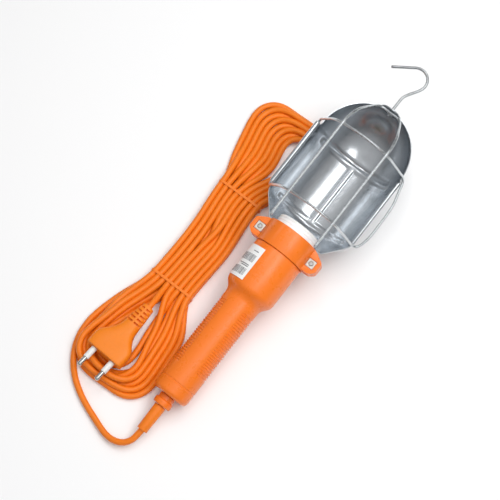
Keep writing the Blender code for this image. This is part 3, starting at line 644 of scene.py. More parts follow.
def hull(points):
    """The convex outline round flat points, from the lowest left one onwards."""
    points = sorted(points)
    chains = []
    for run in (points, points[::-1]):
        chain = []
        for p in run:
            while len(chain) > 1:
                (ax, ay), (bx, by) = chain[-2], chain[-1]
                if (bx - ax) * (p[1] - ay) - (by - ay) * (p[0] - ax) > 0:
                    break
                chain.pop()
            chain.append(p)
        chains += chain[:-1]
    return chains


def build_tie(number, x, points, mats):
    """A flat band, as tight as the strands allow."""
    crossing = np.nonzero((points[:-1, 0] - x) * (points[1:, 0] - x) <= 0)[0]
    centres = [points[i] for i in crossing if abs(points[i + 1, 0] - points[i, 0]) > 0.001]
    skins = []
    for offset in (0.00005, TIE_THICKNESS):
        reach = CORD_RADIUS + offset
        round_strands = [
            (c[1] + reach * math.cos(0.26 * k), max(c[2] + reach * math.sin(0.26 * k), 0.0))
            for c in centres for k in range(24)
        ]
        outline = hull(round_strands)
        loop = evenly([(0, *p) for p in outline + outline[:1]], 0.0004)[:-1]
        skins.append(loop)
    inner, outer = skins
    half = TIE_WIDTH / 2
    rows = []
    for side, skin in ((-half, inner), (-half, outer), (half, outer), (half, inner)):
        at = np.linspace(0, len(skin), 240, endpoint=False)
        ring = [skin[int(i) % len(skin)] for i in at]
        rows.append([(x + side, p[1], p[2]) for p in ring])
    rows.append(rows[0])
    mesh = grid_mesh(f"cord_tie_{number}", rows, wrap=True)
    mesh = carved(f"cord_tie_{number}", mesh, [], 0.00018)
    return piece(f"tie_band_{number}", mesh, mats["orange_pvc"],
                 (f"cord_tie_{number}",), place=Matrix())


# --- handle --------------------------------------------------------------------------------------

def groove(x, angle):
    """Depth of the moulded grip grooves; they leave a smooth strip along the front and the back."""
    side = abs((angle + math.pi) % (2 * math.pi) - math.pi)
    start, end = GROOVE_ANGLES
    across = smoothstep(start, start + 0.12, side) * (1 - smoothstep(end - 0.12, end, side))
    along = smoothstep(GROOVE_REAR_X, GROOVE_REAR_X + 0.001, x)
    along *= 1 - smoothstep(GROOVE_FRONT_X - 0.001, GROOVE_FRONT_X, x)
    wave = 0.5 + 0.5 * math.cos(2 * math.pi * (x - GROOVE_FRONT_X) / GROOVE_PITCH)
    return GROOVE_DEPTH * across * along * smoothstep(0.15, 0.75, wave)


def handle_outline():
    """The handle's outer side from the neck's mouth to the end face, as (x, radius)."""
    corner = HANDLE_END_X - GRIP_REAR_X
    depth = GRIP_RADIUS - HANDLE_END_RADIUS
    end_round = [
        (GRIP_REAR_X + corner * math.sin(a), HANDLE_END_RADIUS + depth * math.cos(a))
        for a in (math.radians(9 * i) for i in range(11))
    ]
    shoulder = [
        (HEAD_REAR_X - 0.0016, 0.0216), (HEAD_REAR_X - 0.0034, 0.0209), (HEAD_REAR_X - 0.0052, 0.0196),
        (HEAD_REAR_X - 0.0068, 0.0182), (HEAD_REAR_X - 0.0084, 0.0170), (GRIP_FRONT_X + 0.0014, 0.0162),
    ]
    front = [
        (NECK_FRONT_X, NECK_RADIUS), (HEAD_FRONT_X + 0.0006, NECK_RADIUS),
        (HEAD_FRONT_X, NECK_RADIUS + 0.0003), (HEAD_FRONT_X, HEAD_RADIUS - 0.0007),
        (HEAD_FRONT_X - 0.0002, HEAD_RADIUS - 0.0002), (HEAD_FRONT_X - 0.0007, HEAD_RADIUS),
        (HEAD_REAR_X, HEAD_RADIUS),
    ]
    ring_x = -0.1500
    ring = [
        (ring_x + 0.0009, GRIP_RADIUS), (ring_x + 0.0004, GRIP_RADIUS - 0.0004),
        (ring_x - 0.0004, GRIP_RADIUS - 0.0004), (ring_x - 0.0009, GRIP_RADIUS),
    ]
    return front + shoulder + [(GRIP_FRONT_X, GRIP_RADIUS)], ring + end_round


def build_handle(mats):
    front, rear = handle_outline()
    rear_wall_x = HANDLE_END_X + 0.0045
    spacing = 0.00029
    steps = round((GRIP_FRONT_X - rear[0][0]) / spacing)
    grip = [(mix(GRIP_FRONT_X, rear[0][0], i / steps), GRIP_RADIUS) for i in range(1, steps)]
    inner = [
        (HANDLE_END_X, 0.0053), (rear_wall_x, 0.0053), (rear_wall_x, GRIP_BORE),
        (GRIP_FRONT_X + 0.002, GRIP_BORE), (-0.051, 0.016), (-0.037, 0.016), (-0.037, 0.0191),
        (NECK_FRONT_X, 0.0191),
    ]
    columns = 144
    rows = []
    for x, radius in front + grip + rear + inner + front[:1]:
        row = []
        for i in range(columns):
            angle = 2 * math.pi * i / columns
            r = radius - groove(x, angle) if radius > GRIP_BORE + 0.001 and x < GRIP_FRONT_X else radius
            row.append((x, r * math.sin(angle), r * math.cos(angle)))
        rows.append(row)
    mesh = grid_mesh("handle", rows, wrap=True)
    piece("handle", mesh, mats["orange_plastic"], ("handle_shell",))

    bore = CORD_RADIUS + GAP
    collar = [
        (HANDLE_END_X - GAP, 0.005), (rear_wall_x + 0.001, 0.005), (rear_wall_x + 0.001, bore),
        (COLLAR_END_X, bore), (COLLAR_END_X, COLLAR_RADIUS - 0.0006),
        (COLLAR_END_X + 0.0008, COLLAR_RADIUS + 0.0003), (COLLAR_END_X + 0.0048, COLLAR_RADIUS + 0.0003),
        (COLLAR_END_X + 0.0058, COLLAR_RADIUS - 0.0009), (HANDLE_END_X - GAP, COLLAR_RADIUS - 0.0009),
    ]
    piece("collar", turned("collar", collar, 72, 0.0004), mats["orange_plastic"],
          ("end_collar",))

    start = COLLAR_END_X - GAP
    sleeve = [
        (start, bore), (SLEEVE_END_X, bore), (SLEEVE_END_X, SLEEVE_TIP_RADIUS), (start, SLEEVE_ROOT_RADIUS),
    ]
    piece("cord_sleeve", turned("cord_sleeve", sleeve, 64, 0.0003), mats["orange_pvc"],
          ("strain_relief",))


def curved_plate(name, radius, thickness, x_range, angle_range, steps):
    """A thin plate bent round the lamp's axis; angles from the front line towards the left."""
    rows = []
    for i in range(steps + 1):
        angle = mix(*angle_range, i / steps)
        row = []
        for x, r in (
            (x_range[0], radius), (x_range[0], radius + thickness),
            (x_range[1], radius + thickness), (x_range[1], radius),
        ):
            row.append((x, r * math.sin(angle), r * math.cos(angle)))
        rows.append(row)
    return grid_mesh(name, rows, wrap=True, caps=(True, True))


def build_label(mats):
    """A paper label with plain printed bars and lines in place of its print."""
    radius = HEAD_RADIUS + GAP
    paper = curved_plate("paper", radius, 0.00022, LABEL_X, LABEL_ANGLES, 40)
    printed = []
    for rear_x, front_x in ((-0.0402, -0.0337), (-0.0528, -0.0466)):
        start, end, bars = math.radians(25), math.radians(74), 22
        for i in range(bars):
            width = (0.35, 0.62, 0.28, 0.5)[(i * 3 + i // 4) % 4]
            low = mix(start, end, i / bars)
            high = low + (end - start) / bars * width
            printed.append(curved_plate("bar", radius + 0.0002, 0.00006, (rear_x, front_x), (low, high), 2))
    for x, start, end in ((-0.0302, 27, 42), (-0.0430, 27, 60), (-0.0444, 27, 50)):
        span = (math.radians(start), math.radians(end))
        printed.append(curved_plate("line", radius + 0.0002, 0.00006, (x - 0.0007, x), span, 16))
    count = len(paper.polygons)
    mesh = joined("label_print", [paper, *printed])
    obj = piece("paper_label", mesh, mats["label_paper"], ("label",))
    mesh.materials.append(mats["label_ink"])
    for polygon in mesh.polygons[count:]:
        polygon.material_index = 1
    return obj


# --- clamp ---------------------------------------------------------------------------------------

def half_band(bore, side):
    """Half of the clamp's band, open towards the axis; side is +1 for the front half."""
    start = math.asin(0.0002 / CLAMP_RADIUS)
    angles = [mix(start, math.pi - start, i / 60) for i in range(61)]
    section = [(CLAMP_RADIUS * math.cos(a), side * CLAMP_RADIUS * math.sin(a)) for a in angles]
    section += [(bore * math.cos(a), side * bore * math.sin(a)) for a in reversed(angles)]
    mesh = prism("half_band", section, CLAMP_REAR_X, 0.0)
    return moved(mesh, Matrix(((0, 0, 1, 0), (1, 0, 0, 0), (0, 1, 0, 0), (0, 0, 0, 1))))


def ear(hand, root, low, high):
    points = [
        (-0.0005, root), (-0.0010, 0.0245), (-0.0060, EAR_REACH), (-0.0155, EAR_REACH),
        (-0.0192, 0.0285), (-0.0192, root),
    ]
    return prism("ear", [(x, hand * y) for x, y in points], low, high, 0.0016, 6)


def upright(mesh, x, y, z=0.0):
    """A body turned about X, stood up along Z at a place of the lamp frame."""
    return moved(mesh, Matrix.Translation((x, y, z)) @ Matrix.Rotation(math.pi / 2, 4, "Y"))


def build_clamp(mats):
    for name, side, root in (("clamp_front", 1, 0.0207), ("clamp_rear", -1, 0.0217)):
        steps = []
        for hand in (1, -1):
            low, high = sorted((side * 0.0002, side * EAR_HEIGHTS[side]))
            steps.append(("UNION", ear(hand, root, low, high)))
        for hand in (1, -1):
            bolt = [(-0.012, 0.0), (-0.012, BOLT_RADIUS + GAP), (0.012, BOLT_RADIUS + GAP), (0.012, 0.0)]
            steps.append(("DIFFERENCE", upright(
                turned_solid("bolt_bore", bolt, 24), BOLT_X, hand * BOLT_Y)))
            if side > 0:
                reach = NUT_SIDE / 2 + GAP
                steps.append(("DIFFERENCE", box(
                    "nut_pocket",
                    (BOLT_X - reach, hand * BOLT_Y - reach, NUT_SEAT_Z),
                    (BOLT_X + reach, hand * BOLT_Y + reach, 0.012),
                )))
        mesh = carved(name, half_band(CLAMP_BORES[side], side), steps, 0.0003)
        piece(name, mesh, mats["orange_plastic"], (f"{name}_half",))

    tip = NUT_SEAT_Z + GAP + NUT_HEIGHT
    seat = EAR_HEIGHTS[-1] + GAP
    screw = [
        (-tip - 0.0003, 0.0), (-tip - 0.0003, BOLT_RADIUS - 0.0005), (-tip + 0.0003, BOLT_RADIUS),
        (seat, BOLT_RADIUS), (seat, 0.0035), (seat + 0.0013, 0.0035), (seat + 0.0024, 0.0024),
        (seat + 0.0024, 0.0),
    ]
    for hand, word in ((1, "left"), (-1, "right")):
        slots = [
            ("DIFFERENCE", box("slot", (seat + 0.0010, -0.0022, -0.00035), (seat + 0.004, 0.0022, 0.00035))),
            ("DIFFERENCE", box("slot", (seat + 0.0010, -0.00035, -0.0022), (seat + 0.004, 0.00035, 0.0022))),
        ]
        mesh = carved(f"screw_{word}", turned_solid("screw", screw, 40), slots)
        mesh = upright(mesh, BOLT_X, hand * BOLT_Y)
        piece(f"screw_{word}", mesh, mats["fastener_steel"], (f"clamp_screw_{word}",))

        half = NUT_SIDE / 2
        low = NUT_SEAT_Z + GAP
        block = box("nut", (BOLT_X - half, hand * BOLT_Y - half, low),
                    (BOLT_X + half, hand * BOLT_Y + half, low + NUT_HEIGHT))
        bore = [
            (-0.005, 0.0), (-0.005, BOLT_RADIUS + 0.0001), (0.005, BOLT_RADIUS + 0.0001), (0.005, 0.0),
        ]
        cutter = upright(turned_solid("nut_bore", bore, 32), BOLT_X, hand * BOLT_Y, 0.0047)
        mesh = carved(f"nut_{word}", block, [("DIFFERENCE", cutter)], 0.00025)
        piece(f"nut_{word}", mesh, mats["nut_steel"], (f"clamp_nut_{word}",))


# --- lampholder ----------------------------------------------------------------------------------

def build_lampholder(mats):
    rim = SKIRT_FRONT_X
    skirt = [
        (SKIRT_REAR_X, SKIRT_BORE), (rim - 0.0012, SKIRT_BORE), (rim, SKIRT_BORE + 0.0008),
        (rim, SKIRT_RADIUS - 0.001), (rim - 0.001, SKIRT_RADIUS),
        (rim - 0.0022, SKIRT_RADIUS), (rim - 0.0022, SKIRT_RADIUS - 0.0004),
        (rim - 0.0030, SKIRT_RADIUS - 0.0004), (rim - 0.0030, SKIRT_RADIUS),
        (rim - 0.0048, SKIRT_RADIUS), (rim - 0.0048, SKIRT_RADIUS - 0.0004),
        (rim - 0.0056, SKIRT_RADIUS - 0.0004), (rim - 0.0056, SKIRT_RADIUS),
        (SKIRT_REAR_X, SKIRT_RADIUS),
    ]
    piece("holder_skirt", turned("holder_skirt", skirt, 112, 0.0002), mats["white_holder"],
          ("lampholder_skirt",))

    rear_x, front_x = SHELL_X
    columns = 72
    steps = 84
    skins = []
    for wall in (0.0, SHELL_WALL):
        skin = []
        for i in range(steps + 1):
            x = mix(rear_x, front_x, i / steps)
            fade = smoothstep(0.0, 0.003, x - rear_x) * (1 - smoothstep(front_x - 0.003, front_x, x))
            row = []
            for k in range(columns):
                angle = 2 * math.pi * k / columns
                wave = 0.5 - 0.5 * math.cos(2 * math.pi * (x / THREAD_PITCH) - angle)
                r = SHELL_RADIUS - wall - THREAD_DEPTH * fade * wave
                row.append((x, r * math.sin(angle), r * math.cos(angle)))
            skin.append(row)
        skins.append(skin)
    rows = skins[0] + skins[1][::-1] + skins[0][:1]
    piece("screw_shell", grid_mesh("screw_shell", rows, wrap=True), mats["brass_contact"],
          ("thread_shell",))


# --- reflector -----------------------------------------------------------------------------------

def dome_outline(steps):
    end = math.asin(LAND_RADIUS / DOME_RADIUS)
    return [
        (DOME_X + DOME_LENGTH * math.cos(a), DOME_RADIUS * math.sin(a))
        for a in (mix(math.pi / 2, end, i / steps) for i in range(steps + 1))
    ]


def reflector_outline():
    """The sheet's outer side from the neck to the land, finely divided."""
    corners = [
        (-0.014, REFLECTOR_NECK_RADIUS), (0.0003, REFLECTOR_NECK_RADIUS), (0.0008, 0.0262),
        (0.0150, 0.0384), (0.0190, 0.0409), (0.023, REFLECTOR_RADIUS), (0.030, REFLECTOR_RADIUS),
    ]
    soft = rounded(corners, 0.0012, 5)[6:-6]
    front = [Vector(corners[0]), *soft, Vector(corners[-1])]
    line = front + [Vector((DOME_X - 0.002, REFLECTOR_RADIUS))]
    fine = evenly([(p.x, p.y, 0) for p in line], 0.0011)
    return [(p[0], p[1]) for p in fine] + dome_outline(46)


def emboss(x, angle):
    """How far the sheet is pressed in; the angle runs from the bottom line towards the left."""
    low_x, high_x = BEAD_X
    along = (angle - BEAD_ANGLE) * REFLECTOR_RADIUS
    half_span = BEAD_HALF_SPAN * REFLECTOR_RADIUS
    raised = 0.0
    for bead_x in BEAD_X:
        beyond = max(0.0, abs(along) - half_span)
        distance = math.hypot(x - bead_x, beyond)
        raised = max(raised, 1 - smoothstep(0.25 * BEAD_HALF_WIDTH, 1.25 * BEAD_HALF_WIDTH, distance))
    if low_x < x < high_x:
        raised = max(raised, 1 - smoothstep(0.0010, 0.0032, abs(along)))
    return BEAD_RAISE * raised


def crease(x, angle):
    """The left wall leans in above a fold line that sinks a little towards the dome."""
    fold_angle = CREASE_ANGLE - math.radians(3.5) * smoothstep(0.02, 0.09, x)
    lean = max(0.0, angle - fold_angle) / (math.pi / 2 - fold_angle)
    fade = smoothstep(0.018, 0.028, x) * (1 - smoothstep(0.084, 0.100, x))
    return 0.0009 * lean * fade


def build_reflector(mats):
    columns = 150
    rows = []
    for x, radius in reflector_outline():
        reach = math.pi / 2 - math.asin(-EDGE_Z / radius)
        row = []
        for i in range(columns + 1):
            angle = mix(reach, -reach, i / columns)
            r = radius
            if x > 0.012:
                r -= emboss(x, angle) + crease(x, angle)
            row.append((x, r * math.sin(angle), -r * math.cos(angle)))
        rows.append(row)
    skin = grid_mesh("reflector_skin", rows)
    sheet = thickened("reflector_sheet", skin)

    hole = HOOK_RADIUS + GAP
    land = turned("land", [
        (LAND_X + 0.0001, LAND_RADIUS), (LAND_X - LAND_SHEET, LAND_RADIUS), (LAND_X - LAND_SHEET, hole),
        (LAND_X + 0.0008, hole), (LAND_X + 0.0008, 0.0034), (LAND_X + 0.0001, 0.0046),
    ], 72, 0.0004)
    rolls = []
    for y, radius, bore, rear_x, front_x in ROLLS.values():
        section = [(front_x, radius), (rear_x, radius), (rear_x, bore), (front_x, bore)]
        roll = turned("roll", section, 40, 0.0003)
        rolls.append(moved(roll, Matrix.Translation((0, y, 0))))
    mesh = joined("reflector_whole", [sheet, land, *rolls])
    piece("reflector_sheet", mesh, mats["zinc_sheet"], ("reflector",))


def thickened(name, mesh):
    """The skin given the sheet's thickness on its inner side."""
    middle = min(mesh.polygons, key=lambda p: p.center.z)
    if middle.normal.z > 0:
        mesh.flip_normals()
    obj = link(name, mesh)
    solid = obj.modifiers.new("sheet", "SOLIDIFY")
    solid.thickness = SHEET
    solid.offset = -1.0
    bpy.context.view_layer.update()
    thick = bpy.data.meshes.new_from_object(obj.evaluated_get(bpy.context.evaluated_depsgraph_get()))
    bpy.data.objects.remove(obj)
    return thick


# --- wire guard and hook -------------------------------------------------------------------------

def ring_points(x):
    half = [(x, y, z) for y, z in RING_ARCH]
    other = [(x, -y, z) for y, z in RING_ARCH[-2::-1]]
    return half + other


def guard_frame_points():
    hinge_side = [(x, HINGE_Y, 0) for x in (0.0245, 0.040, 0.056, 0.072, 0.0870)]
    latch = [
        (0.0887, -0.0420, 0.0008), (0.0858, -0.0436, 0.0000), (0.0815, -0.0446, 0.0000),
        (0.0760, -0.0461, 0.0000), (0.0690, -0.0479, 0.0000), (0.0600, -0.0489, 0.0000),
        (0.0490, LATCH_Y, 0.0000), (0.0380, LATCH_Y, 0.0000), (0.0310, -0.0486, 0.0000),
        (0.0245, -0.0467, 0.0000), (0.0215, -0.0441, 0.0006),
    ]
    loop = [
        (RING_LOW_X + 0.0008, HINGE_Y - 0.0003, 0.0012), *hinge_side,
        (RING_HIGH_X - 0.0008, HINGE_Y - 0.0003, 0.0012), *ring_points(RING_HIGH_X), *latch,
        *reversed(ring_points(RING_LOW_X)),
    ]
    wrapped = loop[-2:] + loop + loop[:3]
    path = smooth_path(wrapped, 0.0018)
    first = min(range(60), key=lambda i: (path[i] - Vector(loop[0])).length)
    last = min(range(len(path) - 60, len(path)), key=lambda i: (path[i] - Vector(loop[0])).length)
    return path[first:last]


def guard_loop_points():
    mirrored = [(x, -y, z) for x, y, z in reversed(LOOP_SIDE)]
    path = smooth_path([*LOOP_SIDE, (0.1267, 0.0, 0.0059), *mirrored], 0.0018)
    lean = Matrix.Rotation(LOOP_LEAN, 4, "X")
    return [lean @ p for p in path]


def weld_blob(frame_points, loop_points, ring_x, hand):
    """A lump of weld between the frame's wire and the loop's wire where they cross."""
    near_ring = [p for p in frame_points if abs(p.x - ring_x) < 0.002 and hand * p.y > 0.012 and p.z > 0.02]
    side = [p for p in loop_points if hand * p.y > 0.012]
    a, b = min(((a, b) for a in near_ring for b in side), key=lambda pair: (pair[0] - pair[1]).length)
    centre = (a + b) / 2
    bm = bmesh.new()
    bmesh.ops.create_icosphere(bm, subdivisions=3, radius=1.0)
    for vert in bm.verts:
        p = vert.co
        ripple = 1 + 0.09 * math.sin(5 * p.x + 3 * hand) * math.cos(4 * p.y + ring_x * 90)
        vert.co = Vector((p.x * 0.0016, p.y * 0.0016, p.z * 0.0013)) * ripple + centre
    return finish(bm, "weld")


def build_guard(mats):
    frame_points = guard_frame_points()
    loop_points = guard_loop_points()
    wires = (
        ("guard_frame", frame_points, True, "guard_frame_wire"),
        ("guard_loop", loop_points, False, "guard_loop_wire"),
    )
    for name, points, closed, node in wires:
        chamfer = 0.0 if closed else WIRE_CHAMFER
        round_piece(name, [LAMP @ p for p in points], WIRE_RADIUS, 4, mats["zinc_wire"],
                    (node,), "guard", closed, chamfer)
    welds = [
        weld_blob(frame_points, loop_points, ring_x, hand)
        for ring_x in (RING_LOW_X, RING_HIGH_X) for hand in (1, -1)
    ]
    piece("guard_welds", joined("guard_welds", welds), mats["weld"], body="guard")


def hook_points():
    bend_start = HOOK_BEND_CENTRE + Vector((0, -HOOK_BEND_RADIUS, 0))
    stem_end = HOOK_STEM_X[1]
    run = bend_start.x - stem_end
    points = [Vector((mix(*HOOK_STEM_X, i / 8), 0, 0)) for i in range(9)]
    for i in range(1, 24):
        t = i / 24
        points.append(Vector((stem_end + run * t, bend_start.y * smoothstep(0, 1, t), 0)))
    for i in range(41):
        a = mix(-math.pi / 2, HOOK_BEND_END, i / 40)
        points.append(HOOK_BEND_CENTRE + Vector((math.cos(a), math.sin(a), 0)) * HOOK_BEND_RADIUS)
    direction = Vector((-math.sin(HOOK_BEND_END), math.cos(HOOK_BEND_END), 0))
    tail_start = points[-1]
    points += [tail_start + direction * HOOK_TAIL * i / 10 for i in range(1, 11)]
    return points


def build_hook(mats):
    round_piece("swivel_hook_wire", [LAMP @ p for p in hook_points()], HOOK_RADIUS, 5,
                mats["hook_wire"], ("hook",), "swivel_hook", chamfer=HOOK_CHAMFER)

    hole = HOOK_RADIUS + GAP
    inner = LAND_X - LAND_SHEET - GAP
    outer = inner - WASHER_THICKNESS
    washer = [(inner, 0.004), (outer, 0.004), (outer, hole), (inner, hole)]
    piece("stem_washer", turned("stem_washer", washer, 48, 0.0002), mats["zinc_wire"],
          ("hook_washer",), "swivel_hook")
    face = inner - GAP - WASHER_THICKNESS
    push_nut = [
        (face, 0.003), (face - 0.0009, 0.003), (face - 0.0014, 0.0022), (face - 0.0014, hole),
        (face, hole),
    ]
    piece("stem_push_nut", turned("stem_push_nut", push_nut, 48, 0.0002), mats["zinc_wire"],
          ("hook_push_nut",), "swivel_hook")


# --- plug ----------------------------------------------------------------------------------------

def plug_ring(x, half_width, half_thickness):
    """One rounded section of the plug; squarer at the face, rounder at the neck."""
    power = mix(0.52, 0.85, smoothstep(0.012, 0.036, x))
    ring = []
    for i in range(64):
        a = 2 * math.pi * i / 64
        y = half_width * math.copysign(abs(math.cos(a)) ** power, math.cos(a))
        z = half_thickness * math.copysign(abs(math.sin(a)) ** power, math.sin(a))
        ring.append((x, y, z))
    return ring


def build_plug(mats):
    """Plug frame: X from the contact face towards the cord, pins along -X."""
    stations = [Vector(s) for s in PLUG_SECTIONS]
    fine = smooth_path(stations[1:], 0.0007)
    front = [
        Vector((0.0, 0.0146, 0.0050)), Vector((0.0, 0.0158, 0.0060)), Vector((0.0003, 0.0168, 0.0065)),
        Vector((0.0009, 0.0174, 0.0067)),
    ]
    end_x = PLUG_NECK_END
    end = [Vector((end_x + 0.0002, 0.0049, 0.0041)), Vector((end_x + 0.0003, 0.0040, 0.0034))]
    rows = [plug_ring(*s) for s in front + fine + end]
    body = grid_mesh("plug", rows, wrap=True, caps=(True, True))
    cutters = []
    for i in range(SLOT_ROWS):
        x = SLOT_START + i * SLOT_PITCH
        half_width, half_thickness = interpolated(PLUG_SECTIONS, x)
        for hand in (1, -1):
            for top in (1, -1):
                low, high = sorted((hand * 0.0009, hand * (half_width + 0.001)))
                floor, roof = sorted((top * 0.0018, top * (half_thickness + 0.001)))
                cutters.append(box("slot", (x, low, floor), (x + SLOT_LENGTH, high, roof)))
    whole = joined("slots", cutters)
    mesh = carved("plug", body, [("DIFFERENCE", whole)], 0.00022)
    to_plug = plug_frame()
    plug = piece("plug", mesh, mats["plug_pvc"], ("plug_body",), place=to_plug)

    others = []
    for hand, number in ((1, 1), (-1, 2)):
        place = to_plug @ Matrix.Translation((0, hand * PIN_SPACING / 2, 0))
        sleeve_end = -GAP - PIN_SLEEVE_LENGTH
        sleeve = [
            (0.0, PIN_SLEEVE_RADIUS), (sleeve_end, PIN_SLEEVE_RADIUS - 0.0001),
            (sleeve_end, PIN_RADIUS), (0.0, PIN_RADIUS),
        ]
        others.append(piece(
            f"pin_cover_{number}", turned("pin_cover", sleeve, 48, 0.0003), mats["pin_sleeve"],
            (f"pin_sleeve_{number}",), place=place,
        ))
        core = PIN_RADIUS - 0.0001
        tip = [
            (-PIN_LENGTH + 0.002 * (1 - math.cos(a)), PIN_RADIUS * math.sin(a))
            for a in (math.radians(9 * i) for i in range(11))
        ]
        pin = [
            *tip, (sleeve_end - 0.0004, PIN_RADIUS), (sleeve_end, core), (-0.0002, core), (-0.0002, 0.0),
        ]
        others.append(piece(
            f"contact_pin_{number}", turned_solid("contact_pin", pin, 40, 0.0001), mats["pin_metal"],
            (f"plug_pin_{number}",), place=place,
        ))
    return [plug, *others]


# --- materials -----------------------------------------------------------------------------------

class Nodes:
    """Adds and links the nodes of one material; distances are in metres."""

    def __init__(self, name, colour, roughness, metallic=0.0, **sockets):
        self.material = bpy.data.materials.new(name)
        self.material.use_nodes = True
        self.tree = self.material.node_tree
        self.shader = self.tree.nodes["Principled BSDF"]
        self.colour = colour
        self.shader.inputs["Base Color"].default_value = (*colour, 1.0)
        self.shader.inputs["Roughness"].default_value = roughness
        self.shader.inputs["Metallic"].default_value = metallic
        for socket, value in sockets.items():
            self.shader.inputs[socket.replace("_", " ")].default_value = value
        self.place = self.tree.nodes.new("ShaderNodeTexCoord").outputs["Object"]

    def link(self, source, target):
        self.tree.links.new(source, target)

    def noise(self, size, detail=2.0, stretch=None):
        """Noise whose features are about a size across; stretch lengthens them along the lamp."""
        node = self.tree.nodes.new("ShaderNodeTexNoise")
        node.inputs["Scale"].default_value = 1.0
        node.inputs["Detail"].default_value = detail
        mapping = self.tree.nodes.new("ShaderNodeMapping")
        mapping.vector_type = "POINT"
        mapping.inputs["Rotation"].default_value = (0.0, math.asin(LAMP_X.z), 0.0)
        along, across = (1 / size, 1 / size) if stretch is None else (1 / (size * stretch), 1 / size)
        mapping.inputs["Scale"].default_value = (along, across, across)
        self.link(self.place, mapping.inputs["Vector"])
        self.link(mapping.outputs["Vector"], node.inputs["Vector"])
        return node.outputs["Fac"]

    def ranged(self, source, low, high, start=0.3, end=0.7):
        node = self.tree.nodes.new("ShaderNodeMapRange")
        node.inputs["From Min"].default_value = start
        node.inputs["From Max"].default_value = end
        node.inputs["To Min"].default_value = low
        node.inputs["To Max"].default_value = high
        self.link(source, node.inputs["Value"])
        return node.outputs["Result"]

    def blend_colour(self, factor, first, second):
        """Sends a mix of two colours to the shader; either may be another mix's output."""
        node = self.tree.nodes.new("ShaderNodeMix")
        node.data_type = "RGBA"
        self.link(factor, node.inputs["Factor"])
        for slot, value in (("A", first), ("B", second)):
            target = next(i for i in node.inputs if i.name == slot and i.type == "RGBA")
            if isinstance(value, tuple):
                target.default_value = (*value, 1.0)
            else:
                self.link(value, target)
        result = next(o for o in node.outputs if o.type == "RGBA")
        self.link(result, self.shader.inputs["Base Color"])
        return result

    def roughen(self, source, low, high):
        self.link(self.ranged(source, low, high), self.shader.inputs["Roughness"])

    def bump(self, layers):
        """Bump from (height output, depth in metres, strength) layers."""
        normal = None
        for height, depth, strength in layers:
            node = self.tree.nodes.new("ShaderNodeBump")
            node.inputs["Distance"].default_value = depth
            node.inputs["Strength"].default_value = strength
            self.link(height, node.inputs["Height"])
            if normal is not None:
                self.link(normal, node.inputs["Normal"])
            normal = node.outputs["Normal"]
        self.link(normal, self.shader.inputs["Normal"])

    def edges(self):
        """High on sharp convex edges."""
        geometry = self.tree.nodes.new("ShaderNodeNewGeometry")
        return self.ranged(geometry.outputs["Pointiness"], 0.0, 1.0, 0.53, 0.62)


def shade(colour, factor):
    return tuple(min(1.0, c * factor) for c in colour)


def moulded_plastic(name, colour, low, high, worn=0.25):
    """Satin moulded plastic: faint flow mottling, fine skin texture and paler rubbed edges."""
    nodes = Nodes(name, colour, (low + high) / 2, IOR=1.49, Subsurface_Weight=0.03,
                  Subsurface_Radius=(0.004, 0.0015, 0.0006), Subsurface_Scale=0.6)
    mottled = nodes.blend_colour(nodes.noise(0.020, 3.0), shade(colour, 0.965), shade(colour, 1.02))
    rubbed = nodes.ranged(nodes.edges(), 0.0, worn, 0.0, 1.0)
    pale = tuple(mix(c, 0.95, 0.16) for c in colour)
    nodes.blend_colour(rubbed, mottled, pale)
    nodes.roughen(nodes.noise(0.006, 4.0), low, high)
    nodes.bump([(nodes.noise(0.0005, 2.0), 0.00004, 0.35), (nodes.noise(0.004, 2.0), 0.00005, 0.4)])
    return nodes.material


def soft_pvc(name, colour, low, high):
    """Soft PVC: matt skin with fine extrusion grain and slight shade changes along its length."""
    nodes = Nodes(name, colour, (low + high) / 2, IOR=1.47, Subsurface_Weight=0.03,
                  Subsurface_Radius=(0.003, 0.001, 0.0004), Subsurface_Scale=0.5)
    broad = nodes.blend_colour(nodes.noise(0.030, 3.0), shade(colour, 0.93), shade(colour, 1.05))
    dull = nodes.ranged(nodes.noise(0.0022, 3.0), 0.0, 0.22, 0.45, 0.75)
    nodes.blend_colour(dull, broad, shade(colour, 0.84))
    nodes.roughen(nodes.noise(0.004, 4.0), low, high)
    nodes.bump([(nodes.noise(0.00045, 2.0), 0.00005, 0.4), (nodes.noise(0.0035, 2.0), 0.00008, 0.35)])
    return nodes.material


def zinc_sheet_material():
    """Bright plated sheet: rolling streaks, faint clouding and the slight waves of pressing."""
    colour = (0.64, 0.67, 0.70)
    nodes = Nodes("zinc_sheet_look", colour, 0.2, 1.0)
    cloudy = nodes.blend_colour(nodes.noise(0.012, 4.0), shade(colour, 0.90), shade(colour, 1.06))
    streaks = nodes.noise(0.0007, 4.0, 26.0)
    nodes.blend_colour(nodes.ranged(streaks, 0.0, 0.30, 0.4, 0.75), cloudy, shade(colour, 0.78))
    nodes.roughen(nodes.noise(0.0016, 4.0, 12.0), 0.17, 0.27)
    nodes.bump([
        (nodes.noise(0.030, 1.0), 0.0007, 0.14),
        (nodes.noise(0.0085, 2.0), 0.00015, 0.09),
        (streaks, 0.000015, 0.30),
    ])
    return nodes.material


def wire_material(name, colour, low, high):
    """Plated drawn wire: fine drawing marks and small dull patches."""
    nodes = Nodes(name, colour, (low + high) / 2, 1.0)
    dull = nodes.ranged(nodes.noise(0.0035, 4.0), 0.0, 0.6, 0.5, 0.8)
    nodes.blend_colour(dull, shade(colour, 1.04), shade(colour, 0.72))
    nodes.roughen(nodes.noise(0.0012, 4.0), low, high)
    nodes.bump([(nodes.noise(0.0004, 3.0, 6.0), 0.00003, 0.35)])
    return nodes.material


